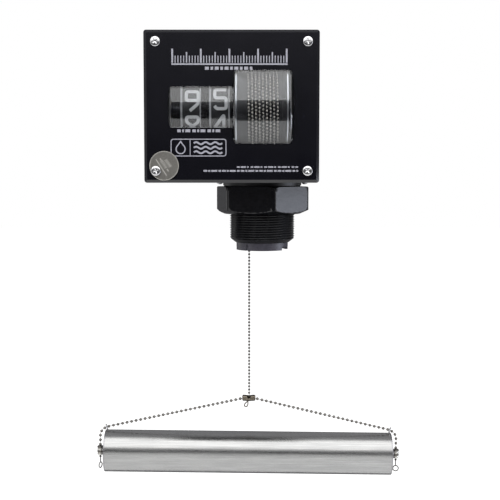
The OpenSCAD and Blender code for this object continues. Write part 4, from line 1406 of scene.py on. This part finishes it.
@dataclass
class Barrels:
    """Turned connectors at the bridle's ends: plain bands painted dark as shade, lobes that catch the
    light.
    """

    places: FloatPlaces
    band_r: float = 2.85
    band_h: float = 1.5
    band_inset: float = 0.06
    band_round: float = 0.2
    core_round: float = 0.3
    lobe_r: float = 2.7
    lobe_h: float = 2.75
    lobe_steps: int = 10
    waist_r: float = 2.0
    mouth_r: float = 0.9
    around: int = 40

    def build(self) -> None:
        """Makes both barrels, each a bright core with two bands round it, their nickel painted dark as
        shade.
        """
        half = self.places.barrel_h / 2
        core = self.band_r - self.band_inset
        lid = half - self.band_inset
        foot = half - self.band_h - self.lobe_h
        profile = [(lid, self.mouth_r), (lid, core - self.core_round), (half - self.core_round, core)]
        profile += self.lobe(half - self.band_h)
        profile += [(foot, core), (foot - self.band_h, core)]
        profile += self.lobe(foot - self.band_h)
        profile.append((-half, self.mouth_r))
        x = self.places.length / 2 + self.places.barrel_gap
        for side in Side:
            barrel = Surface()
            barrel.grid(self.placed(side.value * x, profile), capped=True)
            barrel.piece("turned_barrel_" + side.label, BARREL_NICKEL, Body.FLOAT,
                         replaces=("barrel_connector_" + side.label,))
            # the bands are a thin skin of nickel painted darker as shade
            bands = Surface()
            for top, inner in ((half, self.mouth_r), (foot, self.waist_r)):
                band = [(top, inner), (top, self.band_r - self.band_round),
                        (top - self.band_round, self.band_r), (top - self.band_h, self.band_r),
                        (top - self.band_h, self.waist_r)]
                bands.grid(self.placed(side.value * x, band), closed=True)
            bands.piece("barrel_bands_" + side.label, SHADED_NICKEL, Body.FLOAT)

    def placed(self, x: float, profile: Sequence[Flat]) -> list[list[Point]]:
        """Turns a profile about the barrel's axis and carries it to its true place."""
        return self.places.rolled(turned(Axis.Z, (x, 0, 0), profile, self.around))

    def lobe(self, top: float) -> list[Flat]:
        """Rows of one lobe.

        Args:
            top: Height of its upper end.

        Returns:
            Height and radius of each row, from the top down.
        """
        rows = [(top, self.band_r)]
        for k in range(1, self.lobe_steps + 1):
            angle = math.pi * k / self.lobe_steps
            rows.append((top - self.lobe_h * (1 - math.cos(angle)) / 2,
                         self.waist_r + (self.lobe_r - self.waist_r) * math.sin(angle)))
        return rows


@dataclass
class Coupling:
    """Stamped saddle that joins the hanging chain to the bridle, and the loop under it.

    The saddle is a rolled sheet. Its seam is open by seam_open degrees to each side of the top, and its
    middle is cut away down to front_open and back_open degrees. Its ends close over their last end_l.
    """

    places: FloatPlaces
    wall: float = 0.55
    end_hole: float = 1.3
    end_l: float = 1.3
    notch: float = 3.9
    front_open: float = 98.0
    back_open: float = 46.0
    seam_open: float = 14.0
    belly: float = 0.3
    belly_l: float = 2.6
    columns: int = 48
    rows_along: int = 40
    saddle_sharp: float = 35.0
    loop_sharp: float = 50.0
    wire_r: float = 0.5
    head_r: float = 1.15
    head_tip: float = 0.02
    head_steps: int = 12
    head_around: int = 20
    neck_from: float = 0.6
    neck_to: float = 2.2
    tear_lean: float = 26.0
    tear_w: float = 2.0
    tear_point: float = 1.2
    tear_steps: int = 48

    def build(self) -> None:
        """Makes the saddle and its tear-shaped loop."""
        self.saddle()
        self.loop()

    def saddle(self) -> None:
        """Makes the saddle: a rolled sheet, closed at its ends and open over its middle."""
        centre = self.places.coupling
        half = self.places.coupling_l / 2
        radius = self.places.coupling_r
        surface = Surface()
        rows = []
        for i in range(self.rows_along + 1):
            x = -half + 2 * half * i / self.rows_along
            near = max(0.0, 1 - abs(x) / self.notch)
            front = self.seam_open + (self.front_open - self.seam_open) * near
            back = self.seam_open + (self.back_open - self.seam_open) * math.sqrt(near)
            close = max(0.0, (abs(x) - (half - self.end_l)) / self.end_l)
            belly = self.belly * math.exp(-(x / self.belly_l) ** 2)
            outer = radius - (radius - self.end_hole - self.wall) * close ** 3
            row = []
            for depth in (0.0, self.wall):
                arc = []
                for j in range(self.columns + 1):
                    a = math.radians(front + (360 - front - back) * j / self.columns)
                    r = outer - depth
                    low = belly * max(0.0, -math.cos(a))
                    arc.append((centre.x + x, centre.y - r * math.sin(a),
                                centre.z + r * math.cos(a) - low))
                row += arc if depth == 0.0 else arc[::-1]
            rows.append(row)
        surface.grid(rows)
        around = 2 * (self.columns + 1)
        for first in (0, self.rows_along * around):
            last = first + around - 1
            surface.faces += [(first + j, first + j + 1, last - 1 - j, last - j)
                              for j in range(self.columns)]
        surface.piece("stamped_saddle", COUPLING_NICKEL, Body.FLOAT, self.saddle_sharp,
                      ("chain_coupling",))

    def loop(self) -> None:
        """Makes the tear-shaped wire loop that turns in the saddle's foot."""
        low, high = box_mm("swivel_ring_center")
        pivot = joint_place("ring_center_turn")
        surface = Surface()
        crown = high.z - pivot.z - self.head_r
        profile = []
        for k in range(self.head_steps + 1):
            angle = math.radians(180 * k / self.head_steps)
            profile.append((crown + self.head_r * math.cos(angle),
                            max(self.head_r * math.sin(angle), self.head_tip)))
        surface.grid(turned(Axis.Z, tuple(pivot), profile, self.head_around), capped=True)
        neck = Vector((pivot.x, 0, pivot.z - self.neck_to))
        tube(surface, [Vector((pivot.x, 0, pivot.z - self.neck_from)), neck], self.wire_r)
        lean = math.radians(self.tear_lean)
        down = Vector((-math.sin(lean), 0, -math.cos(lean)))
        side = Vector((math.cos(lean), 0, -math.sin(lean)))
        reach = (low.z + self.wire_r - neck.z) / down.z
        path = []
        for k in range(self.tear_steps):
            t = 2 * math.pi * k / self.tear_steps
            along = (1 - math.cos(t)) / 2
            across = self.tear_w * math.sin(t) * math.sin(t / 2) ** self.tear_point
            path.append(neck + down * (reach * along) + side * across)
        tube(surface, path, self.wire_r, closed=True)
        surface.piece("tear_loop", COUPLING_NICKEL, Body.RING_CENTER, self.loop_sharp,
                      ("swivel_ring_center",))


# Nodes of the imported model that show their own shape, by finish.
DRESSING: dict[Finish, tuple[str, ...]] = {
    CASE_BLACK: ("case",),
    RUBBER: ("cover_gasket", "nipple_gasket"),
    COVER_BLACK: ("front_cover",),
    LENS_CLEAR: ("lens",),
    SLEEVE_BLACK: ("guide_sleeve",),
    CHASSIS_STEEL: ("chassis", "spring_cup", "spring_cover", "pinion_bracket"),
    ZINC_STEEL: ("chassis_screws",),
    BUSH_BRONZE: ("shaft_bushes",),
    SPRING_STEEL: ("power_spring", "shaft_clips"),
    SHAFT_STEEL: ("pinion_pin", "main_shaft", "wheel_spacer", "spring_arbor"),
    DRUM_BLACK: ("chain_drum",),
    FLANGE_ALUMINIUM: ("drum_flange_left", "drum_flange_right"),
    WHEEL_BLACK: ("units_wheel", "tens_wheel"),
    PINION_ACETAL: ("transfer_pinion",),
    TAG_STEEL: ("tag_disc",),
    SCREW_STEEL: ("end_stud_left", "end_stud_right", "guide_eye_left", "guide_eye_right"),
    # the swivel rings take the nickel painted darker as shade
    SHADED_NICKEL: ("swivel_ring_left", "swivel_ring_right"),
}


def dress_nodes() -> None:
    """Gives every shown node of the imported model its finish."""
    for finish, names in DRESSING.items():
        for name in names:
            mesh = frame["nodes"][name].data
            mesh.materials.clear()
            mesh.materials.append(finish.material())
            LOG.info("%s: dressed in %s", name, finish.name)


def seen_white(tree: bpy.types.NodeTree) -> bpy.types.NodeSocket:
    """One for rays from the camera, mirrors and glass, and zero for those that light the object.

    Args:
        tree: Node tree of the world or of the floor.

    Returns:
        The socket with that value.
    """
    rays = add_node(tree, "ShaderNodeLightPath").outputs
    first = add_node(tree, "ShaderNodeMath", {"operation": "MAXIMUM"},
                     {0: rays["Is Camera Ray"], 1: rays["Is Glossy Ray"]})
    return add_node(tree, "ShaderNodeMath", {"operation": "MAXIMUM"},
                    {0: first.outputs["Value"], 1: rays["Is Transmission Ray"]}).outputs["Value"]


def glowing(name: str, cloth: str, light: str,
            strength: Callable[[bpy.types.NodeTree], bpy.types.NodeSocket]) -> bpy.types.Material:
    """Makes a matt cloth that also glows.

    Args:
        name: Name of the material.
        cloth: Colour of the cloth.
        light: Colour of its glow.
        strength: Builds the nodes that give the strength of the glow.

    Returns:
        The material.
    """
    material = bpy.data.materials.new(name)
    tree = fresh_tree(material)
    matt = add_node(tree, "ShaderNodeBsdfDiffuse", inputs={"Color": linear(cloth)})
    glow = add_node(tree, "ShaderNodeEmission", inputs={"Color": linear(light), "Strength": strength(tree)})
    both = add_node(tree, "ShaderNodeAddShader",
                    inputs={0: matt.outputs["BSDF"], 1: glow.outputs["Emission"]})
    add_node(tree, "ShaderNodeOutputMaterial", inputs={"Surface": both.outputs["Shader"]})
    return material


def staged(name: str, points: Sequence[Point], faces: Sequence[tuple[int, ...]],
           material: bpy.types.Material) -> bpy.types.Object:
    """Makes a mesh that stands in the studio and isn't part of the object.

    Args:
        name: Name of the mesh and of its object.
        points: Its points, in mm.
        faces: Its faces.
        material: Its material.

    Returns:
        The new object.
    """
    mesh = bpy.data.meshes.new(name)
    mesh.from_pydata([tuple(c * MM for c in point) for point in points], [], faces)
    mesh.materials.append(material)
    thing = put(name, mesh)
    thing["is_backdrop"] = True
    return thing


@dataclass(frozen=True)
class Softbox:
    """A rectangular soft lamp. radiance is how bright its face is, where 1 is white."""

    name: str
    at: Point
    towards: Point
    width: float
    height: float
    radiance: float
    colour: str

    def hang(self) -> None:
        """Hangs the lamp, with the power that gives its face the radiance."""
        data = bpy.data.lights.new(self.name, "AREA")
        data.shape = "RECTANGLE"
        data.size = self.width * MM
        data.size_y = self.height * MM
        data.color = linear(self.colour)[:3]
        data.energy = self.radiance * math.pi * data.size * data.size_y
        lamp = put(self.name, data)
        lamp.location = Vector(self.at) * MM
        lamp.rotation_euler = (Vector(self.towards) - Vector(self.at)).to_track_quat("-Z", "Y").to_euler()


@dataclass(frozen=True)
class Card:
    """A card that shows only in reflections, with a glow that grows with height.

    edges has both ends of its first edge, of each bend and of its last edge. low is the glow up to
    dim_share of its height, and high the glow at its top.
    """

    name: str
    edges: tuple[Point, ...]
    colour: str
    low: float
    high: float
    light: str = "#fbfbff"
    dim_share: float = 0.3

    def hang(self) -> None:
        """Hangs the card."""
        surface = Surface()
        surface.grid([self.edges[i:i + 2] for i in range(0, len(self.edges), 2)], around=False)
        material = glowing(self.name, self.colour, self.light, self.glow)
        card = staged(self.name, surface.points, surface.faces, material)
        card.visible_camera = False
        card.visible_diffuse = False
        card.visible_shadow = False

    def glow(self, tree: bpy.types.NodeTree) -> bpy.types.NodeSocket:
        """Builds the nodes of the glow.

        Args:
            tree: The card's node tree.

        Returns:
            The socket with the glow's strength.
        """
        heights = [z for _, _, z in self.edges]
        dim = min(heights) + (max(heights) - min(heights)) * self.dim_share
        place = add_node(tree, "ShaderNodeTexCoord").outputs["Object"]
        height = add_node(tree, "ShaderNodeSeparateXYZ", inputs={"Vector": place}).outputs["Z"]
        return add_node(tree, "ShaderNodeMapRange", inputs={
            "Value": height, "From Min": dim * MM, "From Max": max(heights) * MM,
            "To Min": self.low, "To Max": self.high}).outputs["Result"]


# Broad soft light from above and in front, and a smaller one from the right.
SOFTBOXES = (
    Softbox("top_softbox", (-20, -480, 607), (-20, -154, 93), 1600, 991, 1.6, WHITE),
    Softbox("right_softbox", (760, -90, -127), (30, -90, -100), 420, 300, 3.4, "#e6edff"))

# Cards that black gloss and polished metal mirror.
CARDS = (
    # in front: it gives the domes their dark band and the float its thin dark strip
    Card("front_card", ((-900, -552, -174), (900, -552, -174), (-900, -1415, 501), (900, -1415, 501)),
         "#0d0d12", 0.055, 0.4),
    # at the sides: the cover's steep bevels mirror them
    Card("right_card", ((800, -420, 30), (800, 260, 30), (800, -420, 560), (800, 260, 560)),
         "#1c1c20", 0.2, 0.2),
    Card("left_card", ((-850, -420, -120), (-850, 260, -120), (-850, -420, 560), (-850, 260, 560)),
         "#2a2a2e", 0.42, 0.42),
    # over, behind and under: it greys the edges of all that is round and bright
    Card("rear_card", ((-1500, 10, 750), (4000, 10, 750), (-1500, 1600, 750), (4000, 1600, 750),
                       (-1500, 1600, -352), (4000, 1600, -352), (-1500, 50, -352), (4000, 50, -352)),
         "#3a3a3c", 0.15, 0.4))


@dataclass
class Studio:
    """Camera, lights, floor and cards.

    The floor glows by floor_white for the camera and by floor_glow in mirrors and glass.
    """

    camera_at: Point = (-11.4, -967.0, 41.6)
    pitch: float = -4.5
    focal: float = 74.3
    sensor: float = 36.0
    floor_z: float = -360.0
    floor_half: float = 6000.0
    world_light: float = 0.4
    floor_colour: str = "#e6e6e6"
    floor_glow: float = 0.62
    floor_white: float = 0.74

    def build(self) -> None:
        """Sets up the whole studio."""
        self.place_camera()
        self.light_world()
        self.lay_floor()
        for thing in SOFTBOXES + CARDS:
            thing.hang()

    def place_camera(self) -> None:
        """Puts the camera at the photograph's viewing angle."""
        data = bpy.data.cameras.new("camera")
        data.lens = self.focal
        data.sensor_width = self.sensor
        camera = put("camera", data)
        camera.location = Vector(self.camera_at) * MM
        camera.rotation_euler = (math.radians(90 + self.pitch), 0, 0)
        bpy.context.scene.camera = camera
        bpy.context.scene.view_settings.view_transform = "Standard"

    def light_world(self) -> None:
        """Makes a white background that lights the object only softly."""
        world = bpy.data.worlds.new("studio")
        tree = fresh_tree(world)
        bpy.context.scene.world = world
        strength = add_node(tree, "ShaderNodeMapRange", inputs={
            "Value": seen_white(tree), "To Min": self.world_light, "To Max": 1.0})
        background = add_node(tree, "ShaderNodeBackground", inputs={
            "Color": linear(WHITE), "Strength": strength.outputs["Result"]})
        add_node(tree, "ShaderNodeOutputWorld", inputs={"Surface": background.outputs["Background"]})

    def lay_floor(self) -> None:
        """Lays a pale floor that keeps the object's shadow."""
        half, z = self.floor_half, self.floor_z
        points = [(-half, -half, z), (half, -half, z), (half, half, z), (-half, half, z)]
        staged("floor", points, [(0, 1, 2, 3)],
               glowing("pale_floor", self.floor_colour, WHITE, self.floor_light))

    def floor_light(self, tree: bpy.types.NodeTree) -> bpy.types.NodeSocket:
        """Builds the nodes of the floor's glow.

        Args:
            tree: The floor's node tree.

        Returns:
            The socket with the glow's strength.
        """
        mirrored = add_node(tree, "ShaderNodeMath", {"operation": "MULTIPLY"},
                            {0: seen_white(tree), 1: self.floor_glow})
        camera = add_node(tree, "ShaderNodeLightPath").outputs["Is Camera Ray"]
        return add_node(tree, "ShaderNodeMapRange", inputs={
            "Value": camera, "To Min": mirrored.outputs["Value"],
            "To Max": self.floor_white}).outputs["Result"]


def corners(bounds: Any) -> list[list[float]]:
    return [[float(c) for c in corner] for corner in bounds]


def main() -> None:
    """Builds the gauge's pieces in order."""
    logging.basicConfig(level=logging.INFO, format="%(name)s: %(message)s")
    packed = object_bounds()
    Studio().build()
    dress_nodes()
    places = FloatPlaces()
    for part in (PrintedScale("printed_scale"), DashedRules("printed_rules"),
                 LevelBadge("printed_level_badge"), Fasteners(), Tag(),
                 NumberWheel("tens_wheel", Body.TENS, shown=9, rise=8.2, shift=1.4),
                 NumberWheel("units_wheel", Body.DRUM, shown=5, rise=11.2),
                 Nipple(), Chains(places), FloatTube(places), Barrels(places), Coupling(places)):
        part.build()
        LOG.info("%s is built", type(part).__name__)
    {"cad": corners(packed), "visual": corners(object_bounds())}


if __name__ == "__main__":
    main()
